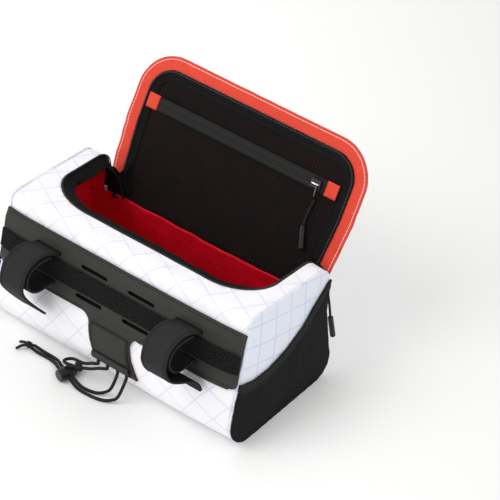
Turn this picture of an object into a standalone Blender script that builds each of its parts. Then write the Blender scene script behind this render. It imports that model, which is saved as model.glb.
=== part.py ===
import math
from bisect import bisect_right

import bmesh
import bpy
from mathutils import Matrix, Vector

# Bicycle handlebar bag. Metres, X across the bag, -Y towards the handlebar, +Z up, resting at z = 0.

# Body section, seen from the end: the corners of the cloth tube and how round they are.
BAG_WIDTH = 0.254
BAG_HEIGHT = 0.1215
FRONT_TOP = 0.0605  # how far the top front corner lies before the origin
FRONT_KNEE = 0.087
KNEE_HEIGHT = 0.049
FRONT_BASE = 0.095
BACK = 0.045
BACK_DROP = 0.0085  # the top slopes down by this much towards the back
TOP_FRONT_RADIUS = 0.008
TOP_FRONT_TURN = math.radians(72)
TOP_BACK_RADIUS = 0.018
KNEE_RADIUS = 0.045
BASE_FRONT_RADIUS = 0.026
BASE_BACK_RADIUS = 0.024
HINGE_HEIGHT = 0.070
END_PINCH = 0.0058  # the front and back draw in by this much at the end seams
BACK_PINCH = 0.0040  # and the back by this much more
PINCH_ZONE = 0.035
END_DOME = 0.003
DOME_SHARES = (1, 0.80, 0.48, 0.12)  # of a domed end's rings, from its rim to its middle

# Cloth and the clearances between layers.
WALL = 0.0016
LINING_WALL = 0.001
TAPE_WALL = 0.001
GAP = 0.0003
FACET_GAP = 0.0005  # between layers that bend together
TURN_STEP = math.radians(15)
LINE_STEP = 0.017

# Mouth, measured along the cloth.
MOUTH_HALF = 0.113
RIM_MARGIN = 0.0185  # cloth left between the mouth and the top front corner
MOUTH_CORNER_X = 0.050
MOUTH_CORNER_S = 0.034
MOUTH_CORNER_STEPS = 8
MOUTH_SIDE = 0.95  # share of the mouth's straight sides that bends with the cloth
TAPE_UNDER = 0.003
TAPE_REACH = 0.018
TAPE_DROP = 0.0065
COIL_DIAMETER = 0.0026
TAPE_START = 0.004  # the tape and the teeth end this far above the hinge
COIL_START = 0.009

# Stretch pocket on each end: hem height as shares of the section's depth and height.
HEM_CURVE = (  # share of the depth from the front, share of the height
    (-0.10, 0.66), (0.03, 0.59), (0.11, 0.52), (0.22, 0.488), (0.36, 0.492),
    (0.52, 0.535), (0.68, 0.615), (0.84, 0.72), (1.10, 0.90),
)
HEM_HEIGHT = 0.009
HEM_PAST = 0.08  # share of the depth that the hem's line runs past the bag
HEM_STEPS = 14
POCKET_WALL = 0.001
HEM_WALL = 0.0016

# Lid, folded back open.
LID_LEAN = math.radians(32.9)
LID_LENGTH = 0.1285
LID_HALF = 0.121
LID_HALF_ROOT = LID_HALF - 0.010
LID_HALF_LOW = LID_HALF - 0.004
LID_LOW_AT = 0.017
LID_CORNER = 0.036
FLANGE = 0.0115  # width of the orange facing outside the zip
FLANGE_WALL = 0.0008
LID_TAPE = 0.0095
MESH_WALL = 0.001
MESH_UNDER = 0.003  # the mesh runs this far in under the zip
ZIP_STRIP_LOW = 0.0785
ZIP_STRIP_HIGH = 0.0905
STRIP_LEFT = LID_HALF - 0.027
STRIP_RIGHT = LID_HALF - 0.034
TAB_LENGTH = 0.0115
TAB_OVER = 0.0005
TAB_WALL = 0.0016
POCKET_SLIDER_AT = (STRIP_RIGHT - 0.0095, 0.0845)
POCKET_SLIDER_SIZE = (0.0105, 0.0080, 0.0032)
POCKET_WIRE = 0.0014

# Band on the handlebar face, its slots and its centre tab.
BAND_BELOW_CORNER = 0.0125
BAND_HEIGHT = 0.051
BAND_WALL = 0.0018
BAND_LIFT = 0.0024  # room behind the band for a strap
BAND_RAMP = 0.009
BAND_CORNER = 0.006
SLOT_PITCH = 0.0508
SLOT_LENGTH = 0.0282
SLOT_OPEN = 0.0036
SLOT_ROW_UPPER = 0.014
SLOT_ROW_LOWER = 0.040
LOOP_STRIP_HEIGHT = 0.0165
LOOP_STRIP_WALL = 0.0011
TAB_HALF = 0.0220
TAB_DROP = BAG_HEIGHT * 0.3045
TAB_SKEW = 0.010  # the tab leans to the right as it hangs
TAB_FILLET = 0.010
PATCH_MARGIN = 0.0022
PATCH_WALL = 0.0009
TUNNEL_HEIGHT = 0.006
TUNNEL_WALL = 0.0040

# Hook-and-loop straps: the route in the plane across the band, as shares of the strap's reach.
STRAP_WIDTH = 0.0254
STRAP_WALL = 0.0018
STRAP_REACH = 0.0445  # how far the loop stands off the bag
STRAP_INNER = (  # share of the row spacing below the upper row, share of the reach
    (0.05, 0.29), (0.10, 0.52), (0.28, 0.78), (0.56, 0.875), (0.86, 0.86),
    (1.10, 0.72), (1.19, 0.52), (1.13, 0.34), (1.035, 0.20),
)
STRAP_OUTER = (
    (-0.02, 0.22), (-0.085, 0.42), (-0.06, 0.64), (0.10, 0.835), (0.32, 0.955), (0.58, 0.99),
    (0.92, 0.985), (1.16, 0.915),
)
TAIL_HANGING = ((1.40, 0.76), (1.66, 0.55), (1.92, 0.32), (2.16, 0.10))
TAIL_TUCKED = ((1.375, 0.80), (1.47, 0.62), (1.50, 0.42), (1.53, 0.235), (1.65, 0.11), (1.86, 0.075))
TUCK_SKEW = 0.013

# Zip pulls.
SLIDER_SIZE = (0.0085, 0.0120, 0.0050)
SLIDER_AT = 0.024  # height of the main slider above the hinge, along the zip
PULL_CORD_DIAMETER = 0.0022
GRIP_DIAMETER = 0.0048
MAIN_GRIP_LENGTH = 0.0200
POCKET_GRIP_LENGTH = 0.0195
MAIN_PULL_ROUTE = (
    (0.1148, 0.0478, 0.0873), (0.1168, 0.0483, 0.0848), (0.1192, 0.0487, 0.0800), (0.1211, 0.0486, 0.0720),
    (0.1225, 0.0485, 0.0640), (0.1234, 0.0484, 0.0570), (0.1241, 0.0483, 0.0510),
)
POCKET_PULL_ROUTE = (  # across the lid, up from its hinge
    (0.0806, 0.0716), (0.0803, 0.0680), (0.0796, 0.0630), (0.0790, 0.0575), (0.0790, 0.0520), (0.0794, 0.0482),
)

# Cord lock lying on the floor, and the shock cord.
CORD_DIAMETER = 0.0028
LOCK_DIAMETER = 0.0110
LOCK_BODY_LENGTH = 0.0160
CAP_DIAMETER = 0.0094
CAP_LENGTH = 0.0035
LOCK_TRAVEL = 0.0025
STEM_DIAMETER = 0.0056
STEM_ENGAGED = 0.0016
STEM_CLEARANCE = 0.0004
LOCK_SLOT_AT = 0.0076
LOCK_SLOT_LENGTH = 0.0068
LOCK_SLOT_OPEN = 0.0037
LOCK_FOOT = (-0.0343, -0.1134)
LOCK_TURN = math.radians(76.6)
KNOT_AT = (-0.0815, -0.0985, 0.0040)
KNOT_RADIUS = 0.0040
KNOT_TAILS = ((-0.0885, -0.1070), (-0.0915, -0.0985))
OUTER_ROUTE = (
    (-0.0772, -0.0997, 0.0036), (-0.0725, -0.0995, 0.0024), (-0.0655, -0.0990, 0.0016),
    (-0.0580, -0.0988, 0.0015), (-0.0505, -0.1002, 0.0022), (-0.0445, -0.1036, 0.0042),
    (-0.0392, -0.1061, 0.0055), (-0.0358, -0.1069, 0.0056), (-0.0300, -0.1083, 0.0056),
    (-0.0266, -0.1091, 0.0055), (-0.0215, -0.1101, 0.0038),
    (-0.0160, -0.1110, 0.0020), (-0.0100, -0.1113, 0.0015), (-0.0035, -0.1110, 0.0015),
    (0.0040, -0.1102, 0.0015), (0.0110, -0.1083, 0.0018), (0.0170, -0.1052, 0.0034),
    (0.0212, -0.1015, 0.0070),
)
INNER_ROUTE = (
    (-0.0770, -0.0963, 0.0040), (-0.0720, -0.0958, 0.0028), (-0.0650, -0.0953, 0.0017),
    (-0.0580, -0.0951, 0.0015), (-0.0505, -0.0963, 0.0022), (-0.0445, -0.0998, 0.0042),
    (-0.0385, -0.1029, 0.0055), (-0.0351, -0.1037, 0.0056), (-0.0292, -0.1051, 0.0056),
    (-0.0258, -0.1059, 0.0055), (-0.0210, -0.1067, 0.0037),
    (-0.0160, -0.1072, 0.0019), (-0.0105, -0.1073, 0.0015), (-0.0045, -0.1065, 0.0015),
    (0.0015, -0.1048, 0.0020), (0.0070, -0.1020, 0.0042), (0.0112, -0.0990, 0.0085),
)
LOOP_ROUTE = (
    (-0.0120, -0.0962, 0.0212), (-0.0200, -0.0965, 0.0168), (-0.0280, -0.0952, 0.0140),
    (-0.0345, -0.0948, 0.0125), (-0.0388, -0.0968, 0.0112), (-0.0396, -0.1002, 0.0114),
    (-0.0360, -0.1028, 0.0130), (-0.0305, -0.1030, 0.0137), (-0.0250, -0.1016, 0.0137),
    (-0.0180, -0.1001, 0.0152), (-0.0100, -0.0990, 0.0182), (-0.0025, -0.0978, 0.0222),
)
CORD_AT_TAB = (-0.0055, 0.0045, 0.0155, 0.0250)  # where the four strands leave the tab's tunnel

HALF = BAG_WIDTH / 2
FLAT_HALF = HALF - PINCH_ZONE
BODY_STATIONS = (HALF, HALF - PINCH_ZONE / 3, HALF - PINCH_ZONE * 2 / 3, FLAT_HALF)


def clear_scene():
    for obj in list(bpy.data.objects):
        bpy.data.objects.remove(obj, do_unlink=True)
    for name in ("handlebar_bag", "cutters"):
        bpy.context.scene.collection.children.link(bpy.data.collections.new(name))


def material(name, color, roughness=0.8, metallic=0.0):
    mat = bpy.data.materials.get(name) or bpy.data.materials.new(name)
    mat.use_nodes = True
    shader = mat.node_tree.nodes["Principled BSDF"]
    shader.inputs["Base Color"].default_value = (*color, 1)
    shader.inputs["Roughness"].default_value = roughness
    shader.inputs["Metallic"].default_value = metallic
    return mat


def white_cloth():
    return material("white_cloth", (0.88, 0.88, 0.93), 0.7)


def orange_cloth():
    return material("orange_cloth", (0.80, 0.10, 0.04), 0.7)


def red_lining():
    return material("red_lining", (0.30, 0.01, 0.015), 0.6)


def black_cloth():
    return material("black_cloth", (0.02, 0.02, 0.021), 0.85)


def band_laminate():
    return material("band_laminate", (0.035, 0.035, 0.031), 0.6)


def black_plastic():
    return material("black_plastic", (0.02, 0.02, 0.02), 0.4)


def slider_metal():
    return material("slider_metal", (0.25, 0.25, 0.26), 0.3, 1.0)


def keep(name, mesh, mat, flat=False):
    obj = bpy.data.objects.new(name, mesh)
    bpy.data.collections["handlebar_bag"].objects.link(obj)
    mesh.materials.clear()
    mesh.materials.append(mat)
    if not flat:
        mesh.shade_smooth()
        mesh.set_sharp_from_angle(angle=math.radians(35))
    return obj


def cutter(name, mesh):
    obj = bpy.data.objects.new(name, mesh)
    bpy.data.collections["cutters"].objects.link(obj)
    obj.hide_render = True
    obj.display_type = "WIRE"
    return obj


def cut(obj, tool, operation="DIFFERENCE"):
    modifier = obj.modifiers.new(tool.name, "BOOLEAN")
    modifier.operation = operation
    modifier.object = tool


def mesh_of(bm, name):
    bmesh.ops.recalc_face_normals(bm, faces=bm.faces)
    mesh = bpy.data.meshes.new(name)
    bm.to_mesh(mesh)
    bm.free()
    return mesh


def loft(name, rings):
    # A closed body through rings of equally many points, its two ends filled.
    bm = bmesh.new()
    rows = [[bm.verts.new(p) for p in ring] for ring in rings]
    for a, b in zip(rows, rows[1:]):
        for i in range(len(a)):
            bm.faces.new((a[i - 1], a[i], b[i]))
            bm.faces.new((a[i - 1], b[i], b[i - 1]))
    bm.faces.new(rows[0])
    bm.faces.new(rows[-1])
    return mesh_of(bm, name)


def smooth_route(points, step):
    # Points about a step apart on a Catmull-Rom curve through the given ones.
    points = [Vector(p) for p in points]
    ends = [2 * points[0] - points[1], *points, 2 * points[-1] - points[-2]]
    route = []
    for a, b, c, d in zip(ends, ends[1:], ends[2:], ends[3:]):
        count = max(1, round((c - b).length / step))
        for i in range(count):
            t = i / count
            route.append(0.5 * (2 * b + (c - a) * t + (2 * a - 5 * b + 4 * c - d) * t * t
                                + (3 * b - a - 3 * c + d) * t ** 3))
    return route + [points[-1]]


def tube(name, route, diameter, mat, step):
    curve = bpy.data.curves.new(name, "CURVE")
    curve.dimensions = "3D"
    curve.bevel_depth = diameter / 2
    curve.bevel_resolution = 2
    curve.use_fill_caps = True
    spline = curve.splines.new("POLY")
    points = smooth_route(route, step)
    spline.points.add(len(points) - 1)
    for point, place in zip(spline.points, points):
        point.co = (*place, 1)
    curve.materials.append(mat)
    obj = bpy.data.objects.new(name, curve)
    bpy.data.collections["handlebar_bag"].objects.link(obj)
    return obj


def rounded(corners):
    # A left-turning outline of straight runs and arcs, as (place, outward normal, corner number).
    points = []
    for i, (a, b, radius) in enumerate(corners):
        here = Vector((a, b))
        arrive = (here - Vector(corners[i - 1][:2])).normalized()
        leave = (Vector(corners[(i + 1) % len(corners)][:2]) - here).normalized()
        turn = math.atan2(arrive.cross(leave), arrive.dot(leave))
        steps = max(1, math.ceil(turn / TURN_STEP)) if radius else 0
        right = Vector((arrive.y, -arrive.x))
        centre = here - arrive * radius * math.tan(turn / 2) - right * radius
        for j in range(steps + 1):
            normal = Matrix.Rotation(turn * j / steps if steps else turn / 2, 2) @ right
            points.append((centre + normal * radius if radius else here, normal, i))
    return points


def section_table():
    # The body's section from the hinge over the top, down the front, and back along the floor.
    corners = (
        (BACK, HINGE_HEIGHT, 0),
        (BACK, BAG_HEIGHT - BACK_DROP, TOP_BACK_RADIUS),
        (-FRONT_TOP, BAG_HEIGHT, TOP_FRONT_RADIUS),
        (-FRONT_KNEE, KNEE_HEIGHT, KNEE_RADIUS),
        (-FRONT_BASE, 0, BASE_FRONT_RADIUS),
        (BACK, 0, BASE_BACK_RADIUS),
    )
    points = rounded(corners)
    points.append((points[0][0], points[0][1], 0))
    table = [(0.0, *points[0])]
    for (place, normal, _), (after, normal_after, corner) in zip(points, points[1:]):
        span = (after - place).length
        count = max(1, math.ceil(span / LINE_STEP))
        for i in range(1, count + 1):
            share = i / count
            table.append((table[-1][0] + span / count, place.lerp(after, share),
                          normal.lerp(normal_after, share).normalized(), corner))
    return table


SECTION = section_table()
SECTION_S = [row[0] for row in SECTION]


def corner_s(corner):
    at = [s for s, _, _, number in SECTION if number == corner]
    return at[-1] - (TOP_FRONT_RADIUS * TOP_FRONT_TURN / 2 if corner == 2 else 0)


S_TOP_FRONT = corner_s(2)
S_RIM = S_TOP_FRONT - RIM_MARGIN
S_BAND = S_TOP_FRONT + BAND_BELOW_CORNER


def skin(x, s, depth):
    # The point this deep under the bag's skin, s along its section from the hinge.
    i = min(max(bisect_right(SECTION_S, s) - 1, 0), len(SECTION) - 2)
    s0, place, normal, _ = SECTION[i]
    s1, after, normal_after, _ = SECTION[i + 1]
    share = (s - s0) / (s1 - s0)
    place = place.lerp(after, share)
    normal = normal.lerp(normal_after, share).normalized()
    height = min(max(place.y / BAG_HEIGHT, 0), 1)
    outer = min(max((abs(x) - FLAT_HALF) / PINCH_ZONE, 0), 1)
    pinch = END_PINCH + BACK_PINCH * max(normal.x, 0)
    depth += pinch * math.sin(math.pi * height) ** 1.2 * outer ** 2
    return Vector((x, place.x - normal.x * depth, place.y - normal.y * depth))


def skin_ring(x, depth):
    return [skin(x, s, depth) for s in SECTION_S[:-1]]


def body_rings(depth, reach=0.0):
    stations = sorted([-x for x in BODY_STATIONS] + [0] + list(BODY_STATIONS))
    rings = [skin_ring(x, depth) for x in stations]
    if reach:
        first, last = ([p + Vector((side * reach, 0, 0)) for p in skin_ring(side * HALF, depth)]
                       for side in (-1, 1))
        rings = [first, *rings, last]
    return rings


def dome_rings(side, depth, offset, rise):
    # Rings of a domed end from its rim to its middle, offset past the end of the cloth tube.
    rim = skin_ring(side * HALF, depth)
    middle = sum(rim, Vector()) / len(rim)
    return [[Vector((side * (HALF + offset + rise * (1 - share ** 2)), *(middle.lerp(p, share))[1:]))
             for p in rim] for share in DOME_SHARES]


def domed_panel(name, side, offset, wall, rise):
    outside = dome_rings(side, 0, offset + wall, rise)
    inside = dome_rings(side, 0, offset, rise)
    return loft(name, outside[::-1] + inside)


def mouth_path(grow=0.0, start=0.0):
    # (across, along the section) points of the mouth's edge, from the left hinge end to the right.
    half, rim = MOUTH_HALF + grow, S_RIM + grow
    bends = [s for s in SECTION_S if start < s < (rim - MOUTH_CORNER_S) * MOUTH_SIDE]
    left = [(-half, s) for s in [start, *bends]]
    for i in range(MOUTH_CORNER_STEPS + 1):
        turn = math.pi / 2 * i / MOUTH_CORNER_STEPS
        left.append((-half + MOUTH_CORNER_X * (1 - math.cos(turn)),
                     rim - MOUTH_CORNER_S * (1 - math.sin(turn))))
    middle = [(left[-1][0] * (1 - 2 * i / 4), rim) for i in (1, 2, 3)]
    return left + middle + [(-x, s) for x, s in left[::-1]]


def mouth_prism(grow=0.0):
    # Cuts the mouth: the rim's plan from above the bag down to the hinge.
    plan = [(x, skin(x, s, 0).y) for x, s in mouth_path(grow) if s > S_RIM / 2]
    behind = BACK + END_DOME + MOUTH_HALF / 4
    plan = [(plan[0][0], behind), *plan, (plan[-1][0], behind)]
    low, high = HINGE_HEIGHT - grow, BAG_HEIGHT + MOUTH_HALF / 4
    return loft("mouth_prism", [[(x, y, z) for x, y in plan] for z in (low, high)])


def sweep_on_mouth(name, profile, start):
    # A strip along the mouth's edge; the profile is (into the mouth, out of the skin) pairs.
    path = [Vector(p) for p in mouth_path(0.0, start)]
    rings = []
    for i, place in enumerate(path):
        along = (path[min(i + 1, len(path) - 1)] - path[max(i - 1, 0)]).normalized()
        into = Vector((along.y, -along.x))
        rings.append([skin(*(place + into * b), -out) for b, out in profile])
    return loft(name, rings)


def build_body():
    panel = keep("main_panel", loft("main_panel", body_rings(0)), white_cloth())
    cut(panel, cutter("body_hollow", loft("body_hollow", body_rings(WALL, END_DOME))))
    cut(panel, cutter("mouth_cut", mouth_prism()))
    for side, name in ((-1, "left"), (1, "right")):
        keep("end_panel_" + name, domed_panel("end_panel", side, GAP, WALL, END_DOME), white_cloth())

    depth = WALL + GAP
    start = -GAP
    outer = [dome_rings(side, depth, start, END_DOME)[::2] for side in (-1, 1)]
    inner = [dome_rings(side, depth + LINING_WALL, start - LINING_WALL, END_DOME)[::2] for side in (-1, 1)]
    middle = [[skin_ring(x, d) for x in sorted([-x for x in BODY_STATIONS[1:]] + list(BODY_STATIONS[1:]))]
              for d in (depth, depth + LINING_WALL)]
    lining = keep("lining", loft("lining", outer[0][::-1] + middle[0] + outer[1]), red_lining())
    hollow = loft("lining_hollow", inner[0][::-1] + middle[1] + inner[1])
    cut(lining, cutter("lining_hollow", hollow))
    cut(lining, cutter("lining_mouth", mouth_prism(TAPE_UNDER + 2 * GAP)))


def build_rim():
    top, low = -WALL - GAP, -WALL - GAP - TAPE_WALL
    profile = [(-TAPE_UNDER, top), (TAPE_UNDER / 2, top), (TAPE_REACH, top - TAPE_DROP),
               (TAPE_REACH, low - TAPE_DROP), (TAPE_UNDER / 2, low), (-TAPE_UNDER, low)]
    keep("rim_tape", sweep_on_mouth("rim_tape", profile, TAPE_START), black_cloth())
    middle = (COIL_DIAMETER / 2 + GAP, COIL_DIAMETER / 2 - WALL)
    coil = [(middle[0] + COIL_DIAMETER / 2 * math.cos(a), middle[1] + COIL_DIAMETER / 2 * math.sin(a))
            for a in (math.tau * i / 6 for i in range(6))]
    keep("rim_coil", sweep_on_mouth("rim_coil", coil, COIL_START), black_plastic())


def hem_height(y):
    rim = skin_ring(HALF, 0)
    front, back = min(p.y for p in rim), max(p.y for p in rim)
    share = (y - front) / (back - front)
    for (a, za), (b, zb) in zip(HEM_CURVE, HEM_CURVE[1:]):
        if share <= b:
            break
    t = (share - a) / (b - a)
    return BAG_HEIGHT * (za + (zb - za) * t)


def hem_prism(name, side, low, high):
    # A block on one end of the bag between two lines along the hem; None runs past the bag.
    rim = skin_ring(HALF, 0)
    front, back = min(p.y for p in rim), max(p.y for p in rim)
    ys = [front + (back - front) * ((1 + 2 * HEM_PAST) * i / HEM_STEPS - HEM_PAST)
          for i in range(HEM_STEPS + 1)]
    bottom = [(y, hem_height(y) + low if low is not None else -BAG_HEIGHT) for y in ys]
    top = [(y, hem_height(y) + high if high is not None else 2 * BAG_HEIGHT) for y in ys]
    outline = bottom + top[::-1]
    near, far = HALF - END_DOME, HALF + 4 * END_DOME
    return cutter(name, loft(name, [[(side * x, y, z) for y, z in outline] for x in (near, far)]))


def build_end_pockets():
    start = GAP + WALL + GAP
    for side, name in ((-1, "left"), (1, "right")):
        pocket = keep("mesh_pocket_" + name, domed_panel("mesh_pocket", side, start, POCKET_WALL, END_DOME),
                      black_cloth())
        cut(pocket, hem_prism("pocket_top_" + name, side, -HEM_HEIGHT - GAP, None))
        hem = keep("pocket_hem_" + name, domed_panel("pocket_hem", side, start, HEM_WALL, END_DOME),
                   black_cloth())
        cut(hem, hem_prism("hem_top_" + name, side, 0, None))
        cut(hem, hem_prism("hem_low_" + name, side, None, -HEM_HEIGHT))


def flat_mesh(name, outlines, wall):
    # A flat cut of cloth: the first outline less the others, lying on z = 0 and as thick as its wall.
    curve = bpy.data.curves.new(name, "CURVE")
    curve.dimensions = "2D"
    curve.fill_mode = "BOTH"
    curve.extrude = wall / 2
    for outline in outlines:
        spline = curve.splines.new("POLY")
        spline.points.add(len(outline) - 1)
        for point, place in zip(spline.points, outline):
            point.co = (*place, 0, 1)
        spline.use_cyclic_u = True
    flat = bpy.data.objects.new(name, curve)
    bpy.context.scene.collection.objects.link(flat)
    bpy.context.view_layer.update()
    mesh = bpy.data.meshes.new_from_object(flat.evaluated_get(bpy.context.evaluated_depsgraph_get()))
    bpy.data.objects.remove(flat)
    bm = bmesh.new()
    bm.from_mesh(mesh)
    bpy.data.meshes.remove(mesh)
    bmesh.ops.remove_doubles(bm, verts=bm.verts, dist=1e-6)
    bmesh.ops.translate(bm, verts=bm.verts, vec=(0, 0, wall / 2))
    return bm


def crease(bm, axis, places):
    # Cuts the flat piece across, where it is going to bend.
    for place in places:
        point, normal = Vector(), Vector()
        point[axis], normal[axis] = place, 1
        geom = bm.verts[:] + bm.edges[:] + bm.faces[:]
        bmesh.ops.bisect_plane(bm, geom=geom, dist=1e-6, plane_co=point, plane_no=normal)


def lid_point(x, v, out):
    # A point of the open lid: v up from its hinge, out towards the mouth's side.
    sin, cos = math.sin(LID_LEAN), math.cos(LID_LEAN)
    return Vector((x, BACK - WALL + v * sin - out * cos,
                   HINGE_HEIGHT + GAP + (WALL + out) * sin + v * cos))


def arch(inset, low=0.0):
    # The lid's outline from the left root to the right, drawn in by an inset.
    shape = ((LID_HALF_ROOT, low, 0), (LID_HALF_LOW, LID_LOW_AT, 0),
             (LID_HALF, LID_LENGTH * 0.5, 0), (LID_HALF, LID_LENGTH, LID_CORNER))
    right = [(half - inset, v - inset if radius else v, max(radius - inset, 0)) for half, v, radius in shape]
    loop = right + [(-a, b, r) for a, b, r in right[::-1]]
    return [tuple(p) for p, _, _ in rounded(loop)]


def lay_on_lid(name, outlines, low, wall, mat):
    bm = flat_mesh(name, outlines, wall)
    for vert in bm.verts:
        vert.co = lid_point(vert.co.x, vert.co.y, low + vert.co.z)
    return keep(name, mesh_of(bm, name), mat)


def box_outline(x0, x1, v0, v1):
    return [(x0, v0), (x1, v0), (x1, v1), (x0, v1)]


def build_lid_coil(low):
    r = COIL_DIAMETER / 2
    path = [Vector(p) for p in arch(FLANGE + GAP + r, COIL_START)]
    rings = []
    for i, place in enumerate(path):
        along = (path[min(i + 1, len(path) - 1)] - path[max(i - 1, 0)]).normalized()
        into = Vector((-along.y, along.x))
        turns = (math.tau * j / 6 for j in range(6))
        rings.append([lid_point(*(place + into * r * math.cos(a)), low + r + r * math.sin(a)) for a in turns])
    keep("lid_coil", loft("lid_coil", rings), black_plastic())


def build_lid():
    lay_on_lid("lid_panel", [arch(0)], -WALL, WALL, white_cloth())
    facing = GAP
    inner = arch(FLANGE)
    lay_on_lid("lid_flange", [arch(GAP) + inner[::-1]], facing, FLANGE_WALL, orange_cloth())
    tape = arch(FLANGE + GAP)
    tape_inner = arch(FLANGE + LID_TAPE)
    lay_on_lid("lid_zip_tape", [tape + tape_inner[::-1]], facing, TAPE_WALL, black_cloth())
    mesh = arch(FLANGE + LID_TAPE + GAP, GAP)
    upper = [p for p in mesh if p[1] > ZIP_STRIP_HIGH]
    lower = [p for p in mesh if p[1] <= ZIP_STRIP_HIGH]
    edge, half = upper[0][0], len(lower) // 2
    low, high = ZIP_STRIP_LOW + MESH_UNDER, ZIP_STRIP_HIGH - MESH_UNDER
    lower = [*lower[:half], (edge, low), (-edge, low), *lower[half:]]
    lay_on_lid("lid_mesh_lower", [lower], facing, MESH_WALL, black_cloth())
    upper = [(edge, high), *upper, (-edge, high)]
    lay_on_lid("lid_mesh_upper", [upper], facing, MESH_WALL, black_cloth())
    build_lid_coil(facing + TAPE_WALL + GAP)
    on_top = facing + TAPE_WALL + GAP
    strip = box_outline(-STRIP_LEFT + GAP, STRIP_RIGHT - GAP, ZIP_STRIP_LOW, ZIP_STRIP_HIGH)
    lay_on_lid("pocket_zip_tape", [strip], on_top, TAPE_WALL, black_cloth())
    for name, x in (("left", -STRIP_LEFT - TAB_LENGTH), ("right", STRIP_RIGHT)):
        patch = box_outline(x, x + TAB_LENGTH, ZIP_STRIP_LOW - TAB_OVER, ZIP_STRIP_HIGH + TAB_OVER)
        lay_on_lid("zip_tab_" + name, [patch], on_top, TAB_WALL, orange_cloth())


def lay_on_front(name, outlines, low, wall, mat, rise=None):
    # A flat cut laid on the front of the bag, (x, distance below the band's top edge), low off the skin.
    bm = flat_mesh(name, [[(x, -down) for x, down in outline] for outline in outlines], wall)
    crease(bm, 0, [side * x for x in BODY_STATIONS for side in (-1, 1)])
    drops = [vert.co.y for vert in bm.verts]
    bends = [S_BAND - s for s in SECTION_S] + [-BAND_RAMP, BAND_RAMP - BAND_HEIGHT]
    crease(bm, 1, [b for b in bends if min(drops) < b < max(drops)])
    for vert in bm.verts:
        down = -vert.co.y
        lift = rise(down) if rise else 0
        vert.co = skin(vert.co.x, S_BAND + down, -(low + lift + vert.co.z))
    return keep(name, mesh_of(bm, name), mat)


def band_rise(down):
    # The band stands off the cloth between its sewn edges, which leaves room for the straps behind it.
    return BAND_LIFT * min(max(min(down, BAND_HEIGHT - down) / BAND_RAMP, 0), 1)


def arc_points(centre, radius, start, end, steps=3):
    return [(centre[0] + radius * math.cos(a), centre[1] + radius * math.sin(a))
            for a in (math.radians(start + (end - start) * i / steps) for i in range(steps + 1))]


def band_outline(side_gap):
    half, low, r, f = HALF - side_gap, BAND_HEIGHT, BAND_CORNER, TAB_FILLET
    right = [(half, 0), *arc_points((half - r, low - r), r, 0, 90),
             *arc_points((TAB_HALF + f, low + f), f, -90, -180)]
    left = [(-x, y) for x, y in right[::-1]]
    foot = low + TAB_DROP
    tab = [(TAB_HALF + TAB_SKEW * 0.3, low + TAB_DROP * 0.6), (TAB_HALF + TAB_SKEW * 1.2, foot),
           (-TAB_HALF + TAB_SKEW, foot), (-TAB_HALF + TAB_SKEW * 0.3, low + TAB_DROP * 0.6)]
    return right + tab + left


def slot_outline(x, down):
    half, r = SLOT_LENGTH / 2 - SLOT_OPEN / 2, SLOT_OPEN / 2
    return arc_points((x + half, down), r, -90, 90) + arc_points((x - half, down), r, 90, 270)


def build_band():
    slots = [slot_outline(SLOT_PITCH * (i - 1.5), row) for row in (SLOT_ROW_UPPER, SLOT_ROW_LOWER)
             for i in range(4)]
    lay_on_front("mount_band", [band_outline(GAP), *slots], FACET_GAP, BAND_WALL, band_laminate(), band_rise)
    middle = (SLOT_ROW_UPPER + SLOT_ROW_LOWER) / 2
    low, high = middle - LOOP_STRIP_HEIGHT / 2, middle + LOOP_STRIP_HEIGHT / 2
    on_band = 2 * FACET_GAP + BAND_WALL
    lay_on_front("loop_strip", [box_outline(-HALF + GAP, HALF - GAP, low, high)], on_band, LOOP_STRIP_WALL,
                 black_cloth(), band_rise)
    top, foot = BAND_HEIGHT + TAB_FILLET / 2, BAND_HEIGHT + TAB_DROP - TUNNEL_HEIGHT - PATCH_MARGIN - GAP
    inset = TAB_HALF - PATCH_MARGIN

    def lean(down):
        return TAB_SKEW * min(max((down - BAND_HEIGHT) / TAB_DROP, 0), 1) ** 2

    def panel(high, low, steps):
        rows = [high + (low - high) * i / steps for i in range(steps + 1)]
        return [(inset + lean(d), d) for d in rows] + [(-inset + lean(d), d) for d in rows[::-1]]

    lay_on_front("tab_patch", [panel(top, foot, 4)], on_band, PATCH_WALL, band_laminate())
    lay_on_front("tab_hem", [panel(foot + GAP, foot + GAP + TUNNEL_HEIGHT, 1)], on_band, TUNNEL_WALL,
                 band_laminate())


def strap_frame():
    # The plane across the band where a strap runs: its origin on the skin at the band's top edge.
    origin = skin(0, S_BAND, 0)
    down = (skin(0, S_BAND + BAND_HEIGHT, 0) - origin).normalized()
    return origin, down, Vector((0, down.z, -down.y))


def strap_route(tail):
    # (down the band, off the skin) from the inner end, behind the band and out to the tail's tip.
    span = SLOT_ROW_LOWER - SLOT_ROW_UPPER
    behind = (FACET_GAP + band_rise(SLOT_ROW_LOWER)) / 2
    scale = [(SLOT_ROW_UPPER + a * span, b * STRAP_REACH) for a, b in STRAP_INNER]
    bend = STRAP_WALL
    passage = [(SLOT_ROW_LOWER, behind + bend), (SLOT_ROW_LOWER - bend * 0.3, behind + bend * 0.3),
               (SLOT_ROW_LOWER - bend, behind), (SLOT_ROW_UPPER + bend, behind),
               (SLOT_ROW_UPPER + bend * 0.3, behind + bend * 0.3), (SLOT_ROW_UPPER, behind + bend)]
    outer = [(SLOT_ROW_UPPER + a * span, b * STRAP_REACH) for a, b in STRAP_OUTER + tail]
    return smooth2(scale) + passage + smooth2(outer)


def smooth2(points):
    return [(p.x, p.y) for p in smooth_route([(a, b, 0) for a, b in points], 2 * STRAP_WALL)]


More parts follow.
